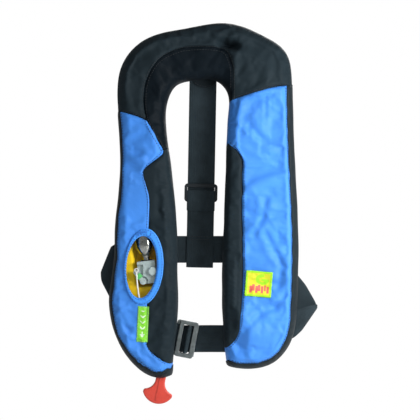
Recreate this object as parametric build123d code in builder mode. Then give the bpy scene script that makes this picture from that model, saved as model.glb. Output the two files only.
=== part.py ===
"""Inflatable life jacket: a horseshoe-shaped cover around a folded bladder, worn over the neck.

Millimetres. +Z is up, -Y is the outer face, +X is the wearer's left. The origin is on the neck
edge of the collar, at the cover's back face. The jacket hangs flat from its collar.
"""

from build123d import *
from math import cos, radians, sin
import os

os.makedirs("parts", exist_ok=True)

# ---------------------------------------------------------------- driving dimensions
COVER_DEPTH = 46.0  # outer face of the cover to the back face
BACK_T = 2.0  # back panels
CLOTH_T = 1.5  # front cloth with its lining
EDGE_R = 16.0  # roll of the cover's edges
LEFT_BINDING_W = 4.0
RIGHT_BINDING_W = 8.5
STRIP_T = 0.8  # each half of the hook-and-loop closure
STRIP_W = 14.0
BLADDER_INSET = 4.0
BLADDER_T = 9.5  # folded bladder
BLADDER_R = 3.0

WINDOW_AT = (-91.4, -273.6)
WINDOW_R = (22.2, 45.3)  # clear opening, half width and half height
BEZEL_AT = (-88.2, -273.0)
BEZEL_R = (28.4, 55.5)
BEZEL_T = 1.4
WINDOW_TILT = -4.0
LENS_T = 0.6
LABEL_T = 0.6
PULL_LABEL_AT = (-89.8, -356.0)
PULL_LABEL_TILT = -2.8
PULL_LABEL_SIZE = (16.0, 52.0)
BADGE_AT = (77.3, -298.0)
BADGE_TILT = -4.5
BADGE_SIZE = (38.0, 36.5)
LABEL_CORNER = 1.0

WEB_W = 40.0  # harness webbing
WEB_T = 1.8
GAP = 0.3  # room between pieces of different bodies

INFLATOR_AT = (-83.7, -281.4)
INFLATOR_TILT = 7.0  # leans towards the wearer's right arm
INFLATOR_FRONT = 39.0
INFLATOR_BACK = 17.0
CYLINDER_R = 14.2  # a 33 gram carbon dioxide cylinder
CYLINDER_LENGTH = 138.0
CYLINDER_DEPTH = 28.7  # its axis behind the origin plane's front
NECK_R = 5.5
WALL_T = 2.2  # steel wall
LEVER_PIVOT = (-89.2, -294.4)
LEVER_ARM = 17.0
LEVER_REST = 130.0  # degrees from +X, seen from the front

HANDLE_AT = (-62.6, -428.0)
HANDLE_TILT = -12.0
HANDLE_DEPTH = 24.0
HANDLE_T = 9.0
CORD_R = 1.2

STRAP_X = -3.0
STRAP_LEAN = -1.1
BELT_BACK_Y = 23.4
BELT_FRONT_Y = 3.6
BELT_BACK_Z = -250.0

BUCKLE_AT = (-27.5, -381.5)
BUCKLE_TILT = -11.0


def tilted(x, z, tilt, depth=0.0):
    """A plane facing -Y, at a depth in front of the back face, turned anticlockwise by tilt."""
    turn = radians(tilt)
    return Plane(origin=(x, -depth, z), x_dir=(cos(turn), 0, sin(turn)), z_dir=(0, -1, 0))


def along(u, v, at, tilt):
    """The X and Z of a point given in a tilted frame."""
    turn = radians(tilt)
    return (at[0] + u * cos(turn) - v * sin(turn), at[1] + u * sin(turn) + v * cos(turn))


def write(piece, name):
    """Labels one finished piece and writes it as its own STEP file."""
    piece.part.label = name
    export_step(piece.part, f"parts/{name}.step")


# ---------------------------------------------------------------- the cover's outline
OUTER_EDGE = [
    (-49, -430),
    (-70, -434),
    (-104, -414),
    (-131, -368),
    (-138.5, -320),
    (-131, -262),
    (-130, -226),
    (-123, -150),
    (-126, -46),
    (-121, 18),
    (-91, 54),
    (-24, 73),
    (30, 80),
    (82, 63),
    (118, 36),
    (126, -8),
    (129.5, -120),
    (134.5, -250),
    (132.5, -328),
    (122, -386),
    (98, -413),
    (66, -421.5),
    (33, -417),
]
INNER_EDGE = [
    (33, -417),
    (28, -372),
    (26, -320),
    (27, -240),
    (31, -138),
    (35, -50),
    (33, -18),
    (14, -0.5),
    (-14, -1),
    (-42, -8),
    (-57, -38),
    (-56, -86),
    (-48, -148),
    (-42, -220),
    (-41, -300),
    (-41, -346),
    (-47, -400),
    (-49, -430),
]


def outline_runs(inset):
    """The outer and inner edges as point lists, moved into the cover by a constant distance."""
    loop = OUTER_EDGE[:-1] + INNER_EDGE[:-1]
    moved = []
    for index, (x, z) in enumerate(loop):
        before = loop[index - 1]
        after = loop[(index + 1) % len(loop)]
        run_x = after[0] - before[0]
        run_z = after[1] - before[1]
        run = (run_x**2 + run_z**2) ** 0.5
        moved.append((x + run_z / run * inset, z - run_x / run * inset))
    corner = len(OUTER_EDGE) - 1
    return moved[: corner + 1], moved[corner:] + moved[:1]


def cover_form(inset, back, front, edge_radius):
    """A solid inside the cover's outline between two depths, with a rolled front edge."""
    outer, inner = outline_runs(inset)
    with BuildPart() as form:
        with BuildSketch(Plane.XZ.offset(back)):
            with BuildLine():
                Spline(*outer)
                Spline(*inner)
            make_face()
        extrude(amount=front - back)
        if edge_radius:
            fillet(faces().sort_by(Axis.Y)[0].edges(), radius=edge_radius)
    return form.part


def area(*corners):
    """A straight-sided area on the XZ plane, for cutting one panel out of the cover."""
    with BuildSketch(Plane.XZ) as sketch:
        with BuildLine():
            Polyline(*corners, close=True)
        make_face()
    return sketch.sketch


REACH = 60.0  # deeper than the cover
front_form = cover_form(0, BACK_T, COVER_DEPTH, EDGE_R)
room_form = cover_form(CLOTH_T, BACK_T, COVER_DEPTH - CLOTH_T, EDGE_R - CLOTH_T)
left_binding_room = cover_form(LEFT_BINDING_W, 0, REACH, 0)
right_binding_room = cover_form(RIGHT_BINDING_W, 0, REACH, 0)

with BuildPart() as cover_shell:
    add(front_form)
    add(room_form, mode=Mode.SUBTRACT)
    # the handle's cord leaves through the bottom of the right-arm lobe
    with BuildSketch(Plane.XZ.offset(HANDLE_DEPTH - 6)):
        with Locations((HANDLE_AT[0], HANDLE_AT[1] - 4)):
            Rectangle(24, 26)
    extrude(amount=12, mode=Mode.SUBTRACT)
    with BuildSketch(tilted(*WINDOW_AT, WINDOW_TILT)):
        Ellipse(*WINDOW_R)
    extrude(amount=REACH, mode=Mode.SUBTRACT)

# ---------------------------------------------------------------- seams between the cover's panels
LEFT_BLUE_TOP = [(-126.2, -49.3), (-84, -63), (-58.9, -107.3), (-85.5, -133), (-87, -146), (-79.8, -177)]
LEFT_BLUE_EDGE = [(-83.4, -382), (-70, -403), (-44, -420)]
RIGHT_BLUE_TOP = [(38.9, -32.5), (78.3, -20.3), (121.5, -12)]
RIGHT_BLUE_EDGE = [(53.7, -122), (54.5, -300), (50.8, -348), (42, -383), (24, -393)]

left_blue_area = area((-160, -39), *LEFT_BLUE_TOP, *LEFT_BLUE_EDGE, (-44, -460), (-160, -460))
right_blue_area = area(
    (20, -38),
    *RIGHT_BLUE_TOP,
    (160, -5),
    (160, -460),
    (24, -460),
    *reversed(RIGHT_BLUE_EDGE),
    (31.9, -94.3),
    (20, -94.3),
)
left_lobe_area = area((-160, -39), *LEFT_BLUE_TOP[:3], (0, -107.3), (0, -460), (-160, -460))
neck_area = area(
    (-82, -66),
    (-86, -17),
    (-61, 27.6),
    (-29, 40.6),
    (17.4, 40.6),
    (34.8, 29),
    (39.2, 7.3),
    (38.5, -32),
    (20, -38),
    (0, -107.3),
    (-58.9, -107.3),
)
right_side_area = area((160, -5), (100, -14), (100, -405), (20, -405), (20, -480), (160, -480))

with BuildPart() as left_blue_panel:
    add(cover_shell.part)
    extrude(left_blue_area, amount=REACH, mode=Mode.INTERSECT)
    add(left_binding_room, mode=Mode.INTERSECT)
write(left_blue_panel, "left_blue_panel")

with BuildPart() as left_inner_panel:
    add(cover_shell.part)
    extrude(left_lobe_area, amount=REACH, mode=Mode.INTERSECT)
    extrude(left_blue_area, amount=REACH, mode=Mode.SUBTRACT)
write(left_inner_panel, "left_inner_panel")

with BuildPart() as left_edge_binding:
    add(cover_shell.part)
    extrude(left_blue_area, amount=REACH, mode=Mode.INTERSECT)
    add(left_binding_room, mode=Mode.SUBTRACT)
write(left_edge_binding, "left_edge_binding")

with BuildPart() as right_edge_binding:
    add(cover_shell.part)
    extrude(right_blue_area, amount=REACH, mode=Mode.INTERSECT)
    extrude(right_side_area, amount=REACH, mode=Mode.INTERSECT)
    add(right_binding_room, mode=Mode.SUBTRACT)
write(right_edge_binding, "right_edge_binding")

with BuildPart() as right_blue_panel:
    add(cover_shell.part)
    extrude(right_blue_area, amount=REACH, mode=Mode.INTERSECT)
    add(right_edge_binding.part, mode=Mode.SUBTRACT)
write(right_blue_panel, "right_blue_panel")

with BuildPart() as right_inner_panel:
    add(cover_shell.part)
    right_lower_area = area((0, -38), (20, -94.3), (160, -94.3), (160, -460), (0, -460))
    extrude(right_lower_area, amount=REACH, mode=Mode.INTERSECT)
    extrude(right_blue_area, amount=REACH, mode=Mode.SUBTRACT)
write(right_inner_panel, "right_inner_panel")

with BuildPart() as collar_cover:
    add(cover_shell.part)
    extrude(left_lobe_area, amount=REACH, mode=Mode.SUBTRACT)
    extrude(right_blue_area, amount=REACH, mode=Mode.SUBTRACT)
    extrude(neck_area, amount=REACH, mode=Mode.SUBTRACT)
    add(right_inner_panel.part, mode=Mode.SUBTRACT)
write(collar_cover, "collar_cover")

with BuildPart() as neck_lining:
    add(cover_shell.part)
    extrude(neck_area, amount=REACH, mode=Mode.INTERSECT)
    extrude(left_lobe_area, amount=REACH, mode=Mode.SUBTRACT)
    extrude(right_blue_area, amount=REACH, mode=Mode.SUBTRACT)
write(neck_lining, "neck_lining")

# ---------------------------------------------------------------- back panels
back_form = cover_form(0, 0, BACK_T, 0)
LEFT_BACK_TOP = -40.0
RIGHT_BACK_TOP = -52.0

with BuildPart() as left_back_panel:
    add(back_form)
    left_half = area((-160, LEFT_BACK_TOP), (0, LEFT_BACK_TOP), (0, -460), (-160, -460))
    extrude(left_half, amount=REACH, mode=Mode.INTERSECT)
write(left_back_panel, "left_back_panel")

with BuildPart() as right_back_panel:
    add(back_form)
    right_half = area((160, RIGHT_BACK_TOP), (0, RIGHT_BACK_TOP), (0, -460), (160, -460))
    extrude(right_half, amount=REACH, mode=Mode.INTERSECT)
write(right_back_panel, "right_back_panel")

with BuildPart() as collar_back_panel:
    add(back_form)
    add(left_back_panel.part, mode=Mode.SUBTRACT)
    add(right_back_panel.part, mode=Mode.SUBTRACT)
write(collar_back_panel, "collar_back_panel")

# ---------------------------------------------------------------- hook-and-loop closure, outer edge
inner_side_area = area((-92, -480), (-92, 10), (-20, 46), (30, 50), (92, 10), (92, -480))
CLOSURE_INSET = CLOTH_T + 0.5
CLOSURE_START = BACK_T


def closure_strip(front, back):
    """One half of the closure: a flat band that follows the cover's outer edge inside the cover."""
    with BuildPart() as strip:
        add(cover_form(CLOSURE_INSET, back, front, 0))
        add(cover_form(CLOSURE_INSET + STRIP_W, 0, REACH, 0), mode=Mode.SUBTRACT)
        extrude(inner_side_area, amount=REACH, mode=Mode.SUBTRACT)
    return strip


loop_strip = closure_strip(CLOSURE_START + STRIP_T, CLOSURE_START)
write(loop_strip, "closure_loop_strip")
hook_strip = closure_strip(CLOSURE_START + 2 * STRIP_T, CLOSURE_START + STRIP_T)
write(hook_strip, "closure_hook_strip")

# ---------------------------------------------------------------- bladder, folded flat
BLADDER_BACK = CLOSURE_START + 2 * STRIP_T + 0.3
BLADDER_FRONT = BLADDER_BACK + BLADDER_T

with BuildPart() as bladder:
    add(cover_form(BLADDER_INSET, BLADDER_BACK, BLADDER_FRONT, BLADDER_R))
write(bladder, "bladder")

# ---------------------------------------------------------------- window and labels
with BuildPart() as window_bezel:
    with BuildSketch(tilted(*BEZEL_AT, WINDOW_TILT, COVER_DEPTH)):
        Ellipse(*BEZEL_R)
    extrude(amount=BEZEL_T)
    with BuildSketch(tilted(*WINDOW_AT, WINDOW_TILT, COVER_DEPTH)):
        Ellipse(*WINDOW_R)
    extrude(amount=BEZEL_T, mode=Mode.SUBTRACT)
    fillet(edges().sort_by(Axis.Y)[:2], radius=0.5)
write(window_bezel, "window_bezel")

LENS_EDGE = 2.5
with BuildPart() as window_lens:
    with BuildSketch(tilted(*WINDOW_AT, WINDOW_TILT, COVER_DEPTH - CLOTH_T - LENS_T)):
        Ellipse(WINDOW_R[0] + LENS_EDGE, WINDOW_R[1] + LENS_EDGE)
    extrude(amount=LENS_T)
write(window_lens, "window_lens")


def label(at, tilt, size):
    """A thin sewn-on rectangle on the cover's face."""
    with BuildPart() as patch:
        with BuildSketch(tilted(*at, tilt, COVER_DEPTH)):
            RectangleRounded(*size, LABEL_CORNER)
        extrude(amount=LABEL_T)
    return patch


write(label(PULL_LABEL_AT, PULL_LABEL_TILT, PULL_LABEL_SIZE), "pull_label")
write(label(BADGE_AT, BADGE_TILT, BADGE_SIZE), "badge_label")

# ---------------------------------------------------------------- inflator, in its own tilted frame
BODY_TOP = 16.5
BODY_TOP_HALF = 13.5
BODY_BOTTOM_HALF = 9.8
CYLINDER_U = 1.0  # the cylinder's axis, right of the body's centre
NECK_DEEP = 9.0  # thread engaged in the body
WASHER_R = 8.2
WASHER_T = 1.6
STEM_AT = (8.0, 0.7)
STEM_R = 3.8
PIN_R = 1.5
PIN_LENGTH = 13.0
PIN_TRAVEL = 3.0
RUN_FIT = 0.05  # running clearance on a radius
PIVOT_R = 1.6
LEVER_FRONT = INFLATOR_FRONT - 0.3
LEVER_BACK = INFLATOR_FRONT - 3.3

cylinder_base = along(CYLINDER_U, BODY_TOP - NECK_DEEP, INFLATOR_AT, INFLATOR_TILT)
turn = radians(INFLATOR_TILT)
cylinder_plane = Plane(
    origin=(cylinder_base[0], -CYLINDER_DEPTH, cylinder_base[1]),
    x_dir=(cos(turn), 0, sin(turn)),
    z_dir=(-sin(turn), 0, cos(turn)),
)
side_plane = Plane(origin=cylinder_plane.origin, x_dir=cylinder_plane.x_dir, z_dir=(0, -1, 0))

with BuildPart() as co2_cylinder:
    with BuildSketch(side_plane):
        with BuildLine():
            Line((0, 0), (NECK_R, 0))
            Line((NECK_R, 0), (NECK_R, 13))
            Spline((NECK_R, 13), (8.5, 19), (12.6, 26), (CYLINDER_R, 34), tangents=[(0, 1), (0, 1)])
            Line((CYLINDER_R, 34), (CYLINDER_R, CYLINDER_LENGTH - 9))
            Spline(
                (CYLINDER_R, CYLINDER_LENGTH - 9),
                (10.5, CYLINDER_LENGTH - 2.3),
                (0, CYLINDER_LENGTH),
                tangents=[(0, 1), (-1, 0)],
            )
            Line((0, CYLINDER_LENGTH), (0, 0))
        make_face()
    revolve(axis=Axis(side_plane.origin, cylinder_plane.z_dir))
    # hollow, with a throat that the firing pin enters
    with BuildSketch(side_plane):
        with BuildLine():
            Polyline((0, 0), (PIN_R + 0.6, 0), (PIN_R + 0.6, 17))
            Spline((PIN_R + 0.6, 17), (10, 27), (CYLINDER_R - WALL_T, 36), tangents=[(0.3, 1), (0, 1)])
            Line((CYLINDER_R - WALL_T, 36), (CYLINDER_R - WALL_T, CYLINDER_LENGTH - 11))
            Spline(
                (CYLINDER_R - WALL_T, CYLINDER_LENGTH - 11),
                (0, CYLINDER_LENGTH - WALL_T),
                tangents=[(0, 1), (-1, 0)],
            )
            Line((0, CYLINDER_LENGTH - WALL_T), (0, 0))
        make_face()
    revolve(axis=Axis(side_plane.origin, cylinder_plane.z_dir), mode=Mode.SUBTRACT)
write(co2_cylinder, "co2_cylinder")

with BuildPart() as cylinder_washer:
    with BuildSketch(cylinder_plane.offset(NECK_DEEP)):
        Circle(WASHER_R)
        Circle(NECK_R + GAP, mode=Mode.SUBTRACT)
    extrude(amount=WASHER_T)
write(cylinder_washer, "cylinder_washer")

with BuildPart() as inflator_body:
    with BuildSketch(tilted(*INFLATOR_AT, INFLATOR_TILT, INFLATOR_BACK)):
        with BuildLine():
            Polyline(
                (-BODY_TOP_HALF, BODY_TOP),
                (BODY_TOP_HALF, BODY_TOP),
                (BODY_TOP_HALF - 1.2, -3),
                (BODY_BOTTOM_HALF, -BODY_TOP),
                (-BODY_BOTTOM_HALF, -BODY_TOP),
                (-BODY_TOP_HALF + 1.2, -3),
                close=True,
            )
        make_face()
        fillet(vertices(), radius=2.2)
        with Locations(STEM_AT):
            Circle(6.6)
    extrude(amount=INFLATOR_FRONT - INFLATOR_BACK)
    fillet(faces().sort_by(Axis.Y)[0].edges(), radius=0.9)
    # the lever's recess, open at the front and on the left
    with BuildSketch(tilted(*LEVER_PIVOT, 0, LEVER_BACK - 0.3)):
        Circle(7.2)
        Rectangle(24, 48, align=(Align.MAX, Align.CENTER))
    extrude(amount=REACH, mode=Mode.SUBTRACT)
    # neck thread, firing pin bore, manifold stem hole, lever pin hole
    with BuildSketch(cylinder_plane):
        Circle(NECK_R + RUN_FIT)
    extrude(amount=20, mode=Mode.SUBTRACT)
    with BuildSketch(cylinder_plane):
        Circle(PIN_R + RUN_FIT)
    extrude(amount=-(PIN_LENGTH + 1), mode=Mode.SUBTRACT)
    with BuildSketch(tilted(*along(*STEM_AT, INFLATOR_AT, INFLATOR_TILT), INFLATOR_TILT)):
        Circle(STEM_R + RUN_FIT)
    extrude(amount=REACH, mode=Mode.SUBTRACT)
    with BuildSketch(tilted(*LEVER_PIVOT, 0, INFLATOR_BACK + 6)):
        Circle(PIVOT_R + RUN_FIT)
    extrude(amount=REACH, mode=Mode.SUBTRACT)
write(inflator_body, "inflator_body")

with BuildPart() as firing_pin:
    with BuildSketch(cylinder_plane.offset(-PIN_TRAVEL - 0.2)):
        Circle(PIN_R)
    extrude(amount=-(PIN_LENGTH - PIN_TRAVEL - 0.6))
    with BuildSketch(cylinder_plane.offset(-PIN_TRAVEL - 0.2)):
        Circle(PIN_R)
    extrude(amount=PIN_TRAVEL - 0.2, taper=24)
write(firing_pin, "firing_pin")

stem_at = along(*STEM_AT, INFLATOR_AT, INFLATOR_TILT)
GASKET_T = 1.2
GASKET_R = 6.4
FLANGE_R = 14.0
NUT_R = 6.2
NUT_T = 4.4
with BuildPart() as manifold_stem:
    with BuildSketch(tilted(*stem_at, INFLATOR_TILT, BLADDER_FRONT)):
        Circle(FLANGE_R)
    extrude(amount=INFLATOR_BACK - GASKET_T - BLADDER_FRONT)
    with BuildSketch(tilted(*stem_at, INFLATOR_TILT, BLADDER_FRONT)):
        Circle(STEM_R)
    extrude(amount=INFLATOR_FRONT + 3.2 - BLADDER_FRONT)
write(manifold_stem, "manifold_stem")

with BuildPart() as manifold_gasket:
    with BuildSketch(tilted(*stem_at, INFLATOR_TILT, INFLATOR_BACK - GASKET_T)):
        Circle(GASKET_R)
        Circle(STEM_R + 0.2, mode=Mode.SUBTRACT)
    extrude(amount=GASKET_T)
write(manifold_gasket, "manifold_gasket")

with BuildPart() as cap_nut:
    with BuildSketch(tilted(*stem_at, INFLATOR_TILT, INFLATOR_FRONT)):
        Circle(NUT_R)
    extrude(amount=NUT_T)
    fillet(faces().sort_by(Axis.Y)[0].edges(), radius=1.6)
    with BuildSketch(tilted(*stem_at, INFLATOR_TILT, INFLATOR_FRONT)):
        Circle(STEM_R + 0.05)
    extrude(amount=3.3, mode=Mode.SUBTRACT)
write(cap_nut, "cap_nut")

with BuildPart() as lever_pin:
    with BuildSketch(tilted(*LEVER_PIVOT, 0, INFLATOR_BACK + 6.5)):
        Circle(PIVOT_R)
    extrude(amount=LEVER_FRONT + 0.9 - INFLATOR_BACK - 6.5)
    with BuildSketch(tilted(*LEVER_PIVOT, 0, LEVER_FRONT + 0.1)):
        Circle(2.6)
    extrude(amount=0.8)
write(lever_pin, "lever_pin")

with BuildPart() as firing_lever:
    with BuildSketch(tilted(*LEVER_PIVOT, LEVER_REST, LEVER_BACK)):
        with Locations((LEVER_ARM / 2, 0)):
            SlotCenterToCenter(LEVER_ARM, 6.4)
        Circle(4.8)
        Circle(PIVOT_R + RUN_FIT, mode=Mode.SUBTRACT)
        with Locations((LEVER_ARM, 0)):
            Circle(1.7, mode=Mode.SUBTRACT)
    extrude(amount=LEVER_FRONT - LEVER_BACK)
write(firing_lever, "firing_lever")

CLIP_U = 9.4  # along the lever from its pivot
with BuildPart() as indicator_clip:
    with BuildSketch(tilted(*LEVER_PIVOT, LEVER_REST, LEVER_FRONT)):
        with Locations((CLIP_U, 0)):
            RectangleRounded(7, 8.4, 1)
    extrude(amount=1.6)
    fillet(faces().sort_by(Axis.Y)[0].edges(), radius=0.5)
write(indicator_clip, "indicator_clip")

# ---------------------------------------------------------------- pull cord and handle
CORD_RUN = [(-98.9, -42.4, -281.0), (-96.5, -42.0, -318.0), (-84.0, -34.0, -366.0), (-63.6, -24.0, -421.0)]
CORD_RADII = [160.0, 130.0]
EYE_R = 3.0

with BuildPart() as pull_cord:
    with BuildLine():
        cord_path = FilletPolyline(*CORD_RUN, radius=CORD_RADII)
    with BuildSketch(Plane(origin=cord_path @ 0, z_dir=cord_path % 0)):
        Circle(CORD_R)
    sweep()
    # the eye that takes the lever's tip
    with BuildSketch(Plane.XZ.offset(-CORD_RUN[0][1] - CORD_R)):
        with Locations((CORD_RUN[0][0], CORD_RUN[0][2] + EYE_R)):
            Circle(EYE_R + CORD_R)
            Circle(EYE_R - CORD_R, mode=Mode.SUBTRACT)
    extrude(amount=2 * CORD_R)
write(pull_cord, "pull_cord")

STEM_HALF = 6.8
TIP_U = 22.9
TIP_V = -28.2
FOOT_V = -45.6
with BuildPart() as pull_handle:
    with BuildSketch(tilted(*HANDLE_AT, HANDLE_TILT, HANDLE_DEPTH - HANDLE_T / 2)):
        with BuildLine():
            Line((-STEM_HALF, 4), (STEM_HALF, 4))
            Line((STEM_HALF, 4), (STEM_HALF + 0.4, -14))
            Spline((STEM_HALF + 0.4, -14), (10.8, -22.2), (TIP_U, TIP_V))
            ThreePointArc((TIP_U, TIP_V), (0, FOOT_V), (-TIP_U, TIP_V))
            Spline((-TIP_U, TIP_V), (-10.8, -22.2), (-STEM_HALF - 0.4, -14))
            Line((-STEM_HALF - 0.4, -14), (-STEM_HALF, 4))
        make_face()
        fillet(vertices().group_by(Axis.X)[0] + vertices().group_by(Axis.X)[-1], radius=4)
    extrude(amount=HANDLE_T)
    fillet(faces().sort_by(Axis.Y)[0].edges(), radius=2.4)
    fillet(faces().sort_by(Axis.Y)[-1].edges(), radius=2.4)
    # raised rib down the middle of the front
    with BuildSketch(tilted(*HANDLE_AT, HANDLE_TILT, HANDLE_DEPTH)):
        with Locations((0, -22)):
            SlotCenterToCenter(34, 3, rotation=90)
    extrude(amount=HANDLE_T / 2 + 1)
write(pull_handle, "pull_handle")

# ---------------------------------------------------------------- mouth inflation tube and whistle
TUBE_AT = (92.0, -26.0)  # X and Y of the tube
TUBE_R = 6.0
TUBE_BORE = 4.2
PATCH_R = 13.0  # welded patch that joins the tube to the bladder
PATCH_T = 2.0
TUBE_BASE_Z = -292.0
TUBE_TOP_Z = -180.0
VALVE_LENGTH = 12.0
VALVE_TRAVEL = 3.0
CAP_R = 8.0
CAP_SKIRT = 16.0

with BuildPart() as oral_tube:
    with BuildSketch(Plane.XZ.offset(BLADDER_FRONT)):
        with Locations((TUBE_AT[0], TUBE_BASE_Z)):
            Circle(PATCH_R)
    extrude(amount=PATCH_T)
    with BuildSketch(Plane.XZ.offset(BLADDER_FRONT)):
        with Locations((TUBE_AT[0], TUBE_BASE_Z)):
            Circle(TUBE_R)
    extrude(amount=-TUBE_AT[1] - BLADDER_FRONT)
    with BuildSketch(Plane.XY.offset(TUBE_BASE_Z - TUBE_R)):
        with Locations(TUBE_AT):
            Circle(TUBE_R)
    extrude(amount=TUBE_TOP_Z - TUBE_BASE_Z + TUBE_R)
    with BuildSketch(Plane.XY.offset(TUBE_BASE_Z)):
        with Locations(TUBE_AT):
            Circle(TUBE_BORE)
    extrude(amount=TUBE_TOP_Z - TUBE_BASE_Z, mode=Mode.SUBTRACT)
write(oral_tube, "oral_tube")

with BuildPart() as oral_valve:
    with BuildSketch(Plane.XY.offset(TUBE_TOP_Z - VALVE_LENGTH)):
        with Locations(TUBE_AT):
            Circle(TUBE_BORE - RUN_FIT)
    extrude(amount=4)
    with BuildSketch(Plane.XY.offset(TUBE_TOP_Z - VALVE_LENGTH)):
        with Locations(TUBE_AT):
            Circle(1.8)
    extrude(amount=VALVE_LENGTH)
write(oral_valve, "oral_valve")

with BuildPart() as dust_cap:
    with BuildSketch(Plane.XY.offset(TUBE_TOP_Z - CAP_SKIRT)):
        with Locations(TUBE_AT):
            Circle(CAP_R)
    extrude(amount=CAP_SKIRT + 3.5)
    fillet(faces().sort_by(Axis.Z)[-1].edges(), radius=1.5)
    with BuildSketch(Plane.XY.offset(TUBE_TOP_Z - CAP_SKIRT)):
        with Locations(TUBE_AT):
            Circle(TUBE_R + GAP)
    extrude(amount=CAP_SKIRT + 1, mode=Mode.SUBTRACT)
write(dust_cap, "dust_cap")

WHISTLE_AT = (66.0, -215.0)
with BuildPart() as whistle:
    with BuildSketch(Plane.XZ.offset(BLADDER_FRONT + 1)):
        with Locations(WHISTLE_AT):
            RectangleRounded(15, 48, 4)
    extrude(amount=9)
    fillet(faces().sort_by(Axis.Y)[0].edges(), radius=1.5)
    with BuildSketch(Plane.XZ.offset(BLADDER_FRONT + 4)):
        with Locations((WHISTLE_AT[0], WHISTLE_AT[1] + 9)):
            Rectangle(9, 4)
    extrude(amount=10, mode=Mode.SUBTRACT)
    with BuildSketch(Plane.XY.offset(WHISTLE_AT[1] + 8)):
        with Locations((WHISTLE_AT[0], -BLADDER_FRONT - 6)):
            Rectangle(9, 2.4)
    extrude(amount=30, mode=Mode.SUBTRACT)
write(whistle, "whistle")

# ---------------------------------------------------------------- back strap and its slider
lean = radians(STRAP_LEAN)
strap_side = Plane(origin=(STRAP_X, 0, 0), x_dir=(0, 1, 0), z_dir=(cos(lean), 0, sin(lean)))
TAB_T = 1.5
STRAP_TOP = 14.0
STRAP_KNEE = -18.0  # where the sewn top ends and the strap leans back
STRAP_LOW = -217.0
STRAP_FOOT = -277.0
STRAP_TOP_Y = TAB_T + 0.1
STRAP_LOW_Y = 19.6
STRAP_SLOPE = (STRAP_LOW_Y - STRAP_TOP_Y) / (STRAP_KNEE - STRAP_LOW)
BACK_PLY_Y = 24.6

with BuildPart() as strap_tab:
    with BuildSketch(Plane.XZ.offset(-TAB_T)):
        with BuildLine():
            Polyline((-17, -5), (-17, 16), (16.5, 16), (16.5, -5))
            ThreePointArc((-17, -5), (-0.5, -12), (16.5, -5))
        make_face()
    extrude(amount=TAB_T)
write(strap_tab, "strap_tab")

with BuildPart() as back_strap:
    with BuildSketch(strap_side):
        with BuildLine():
            FilletPolyline(
                (STRAP_TOP_Y + WEB_T / 2, STRAP_TOP),
                (STRAP_TOP_Y + WEB_T / 2, STRAP_KNEE),
                (STRAP_LOW_Y + WEB_T / 2, STRAP_LOW),
                (STRAP_LOW_Y + WEB_T / 2, STRAP_FOOT),
                (BACK_PLY_Y + WEB_T / 2, STRAP_FOOT),
                (BACK_PLY_Y + WEB_T / 2, STRAP_LOW + 4),
                radius=2.4,
            )
            offset(amount=WEB_T / 2, side=Side.BOTH, kind=Kind.ARC)
        make_face()
    extrude(amount=WEB_W / 2, both=True)
write(back_strap, "back_strap")

SLIDER_V = -166.0  # middle of the slider on the strap at rest
SLIDER_HALF_H = 13.5
SLIDER_HALF_W = 24.5
strap_face_y = STRAP_TOP_Y + (STRAP_KNEE - SLIDER_V) * STRAP_SLOPE
slope = (1 + STRAP_SLOPE**2) ** 0.5
slider_up = Vector(sin(-lean) / slope, -STRAP_SLOPE / slope, cos(lean) / slope)
slider_out = Vector(cos(lean), 0, sin(lean)).cross(slider_up).normalized()
slider_origin = Vector(STRAP_X + SLIDER_V * sin(-lean), strap_face_y, SLIDER_V * cos(lean))
slider_plane = Plane(origin=slider_origin, x_dir=(cos(lean), 0, sin(lean)), z_dir=slider_out)

with BuildPart() as strap_slider:
    with BuildSketch(slider_plane.offset(-WEB_T - GAP - 2.4)):
        RectangleRounded(2 * SLIDER_HALF_W, 2 * SLIDER_HALF_H, 5)
    extrude(amount=WEB_T + 2 * GAP + 5.2)
    fillet(faces().sort_by(Axis.Y)[0].edges(), radius=1)
    # channel for the strap, open above and below
    with BuildSketch(slider_plane.offset(-WEB_T - GAP)):
        Rectangle(WEB_W + 2 * GAP, 60)
    extrude(amount=WEB_T + 2 * GAP, mode=Mode.SUBTRACT)
    # below the top bar the webbing lies over the front
    with BuildSketch(slider_plane.offset(GAP)):
        with Locations((0, -5)):
            Rectangle(WEB_W + 2 * GAP, 2 * SLIDER_HALF_H)
    extrude(amount=10, mode=Mode.SUBTRACT)
    # windows behind the strap leave the middle bar
    with BuildSketch(slider_plane.offset(-20)):
        with GridLocations(0, 13, 1, 2):
            Rectangle(WEB_W + 2 * GAP, 6.5)
    extrude(amount=20 - WEB_T, mode=Mode.SUBTRACT)
write(strap_slider, "strap_slider")

with BuildPart() as slider_webbing:
    with BuildSketch(slider_plane.offset(GAP)):
        with Locations((0, 4 - 16)):
            Rectangle(WEB_W, 32 - 0.4)
    extrude(amount=WEB_T)
    fillet(edges().filter_by(lambda edge: abs(edge.length - WEB_W) < 0.1).group_by(Axis.Z)[-1], radius=0.8)
write(slider_webbing, "slider_webbing")


# ---------------------------------------------------------------- waist belt
def band(stations):
    """Webbing lofted through stations: a centre, the direction across its width, and its facing."""
    with BuildPart() as belt:
        for centre, across, facing in stations:
            width_dir = Vector(*across).normalized()
            run_dir = width_dir.cross(Vector(*facing)).normalized()
            with BuildSketch(Plane(origin=centre, x_dir=width_dir, z_dir=run_dir)):
                Rectangle(WEB_W, WEB_T)
        loft(ruled=True)
    return belt


def hairpin(fold, across, outward):
    """Stations of a half turn, from the back run to the front run, about a fold's outermost line."""
    middle = (BELT_BACK_Y + BELT_FRONT_Y) / 2
    radius = (BELT_BACK_Y - BELT_FRONT_Y) / 2
    stations = []
    for step in range(7):
        turned = radians(30 * step)
        reach = radius * (sin(turned) - 1)
        centre = (fold[0] + outward[0] * reach, middle + radius * cos(turned), fold[1] + outward[1] * reach)
        facing = (outward[0] * sin(turned), cos(turned), outward[1] * sin(turned))
        stations.append((centre, (across[0], 0, across[1]), facing))
    return stations


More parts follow.
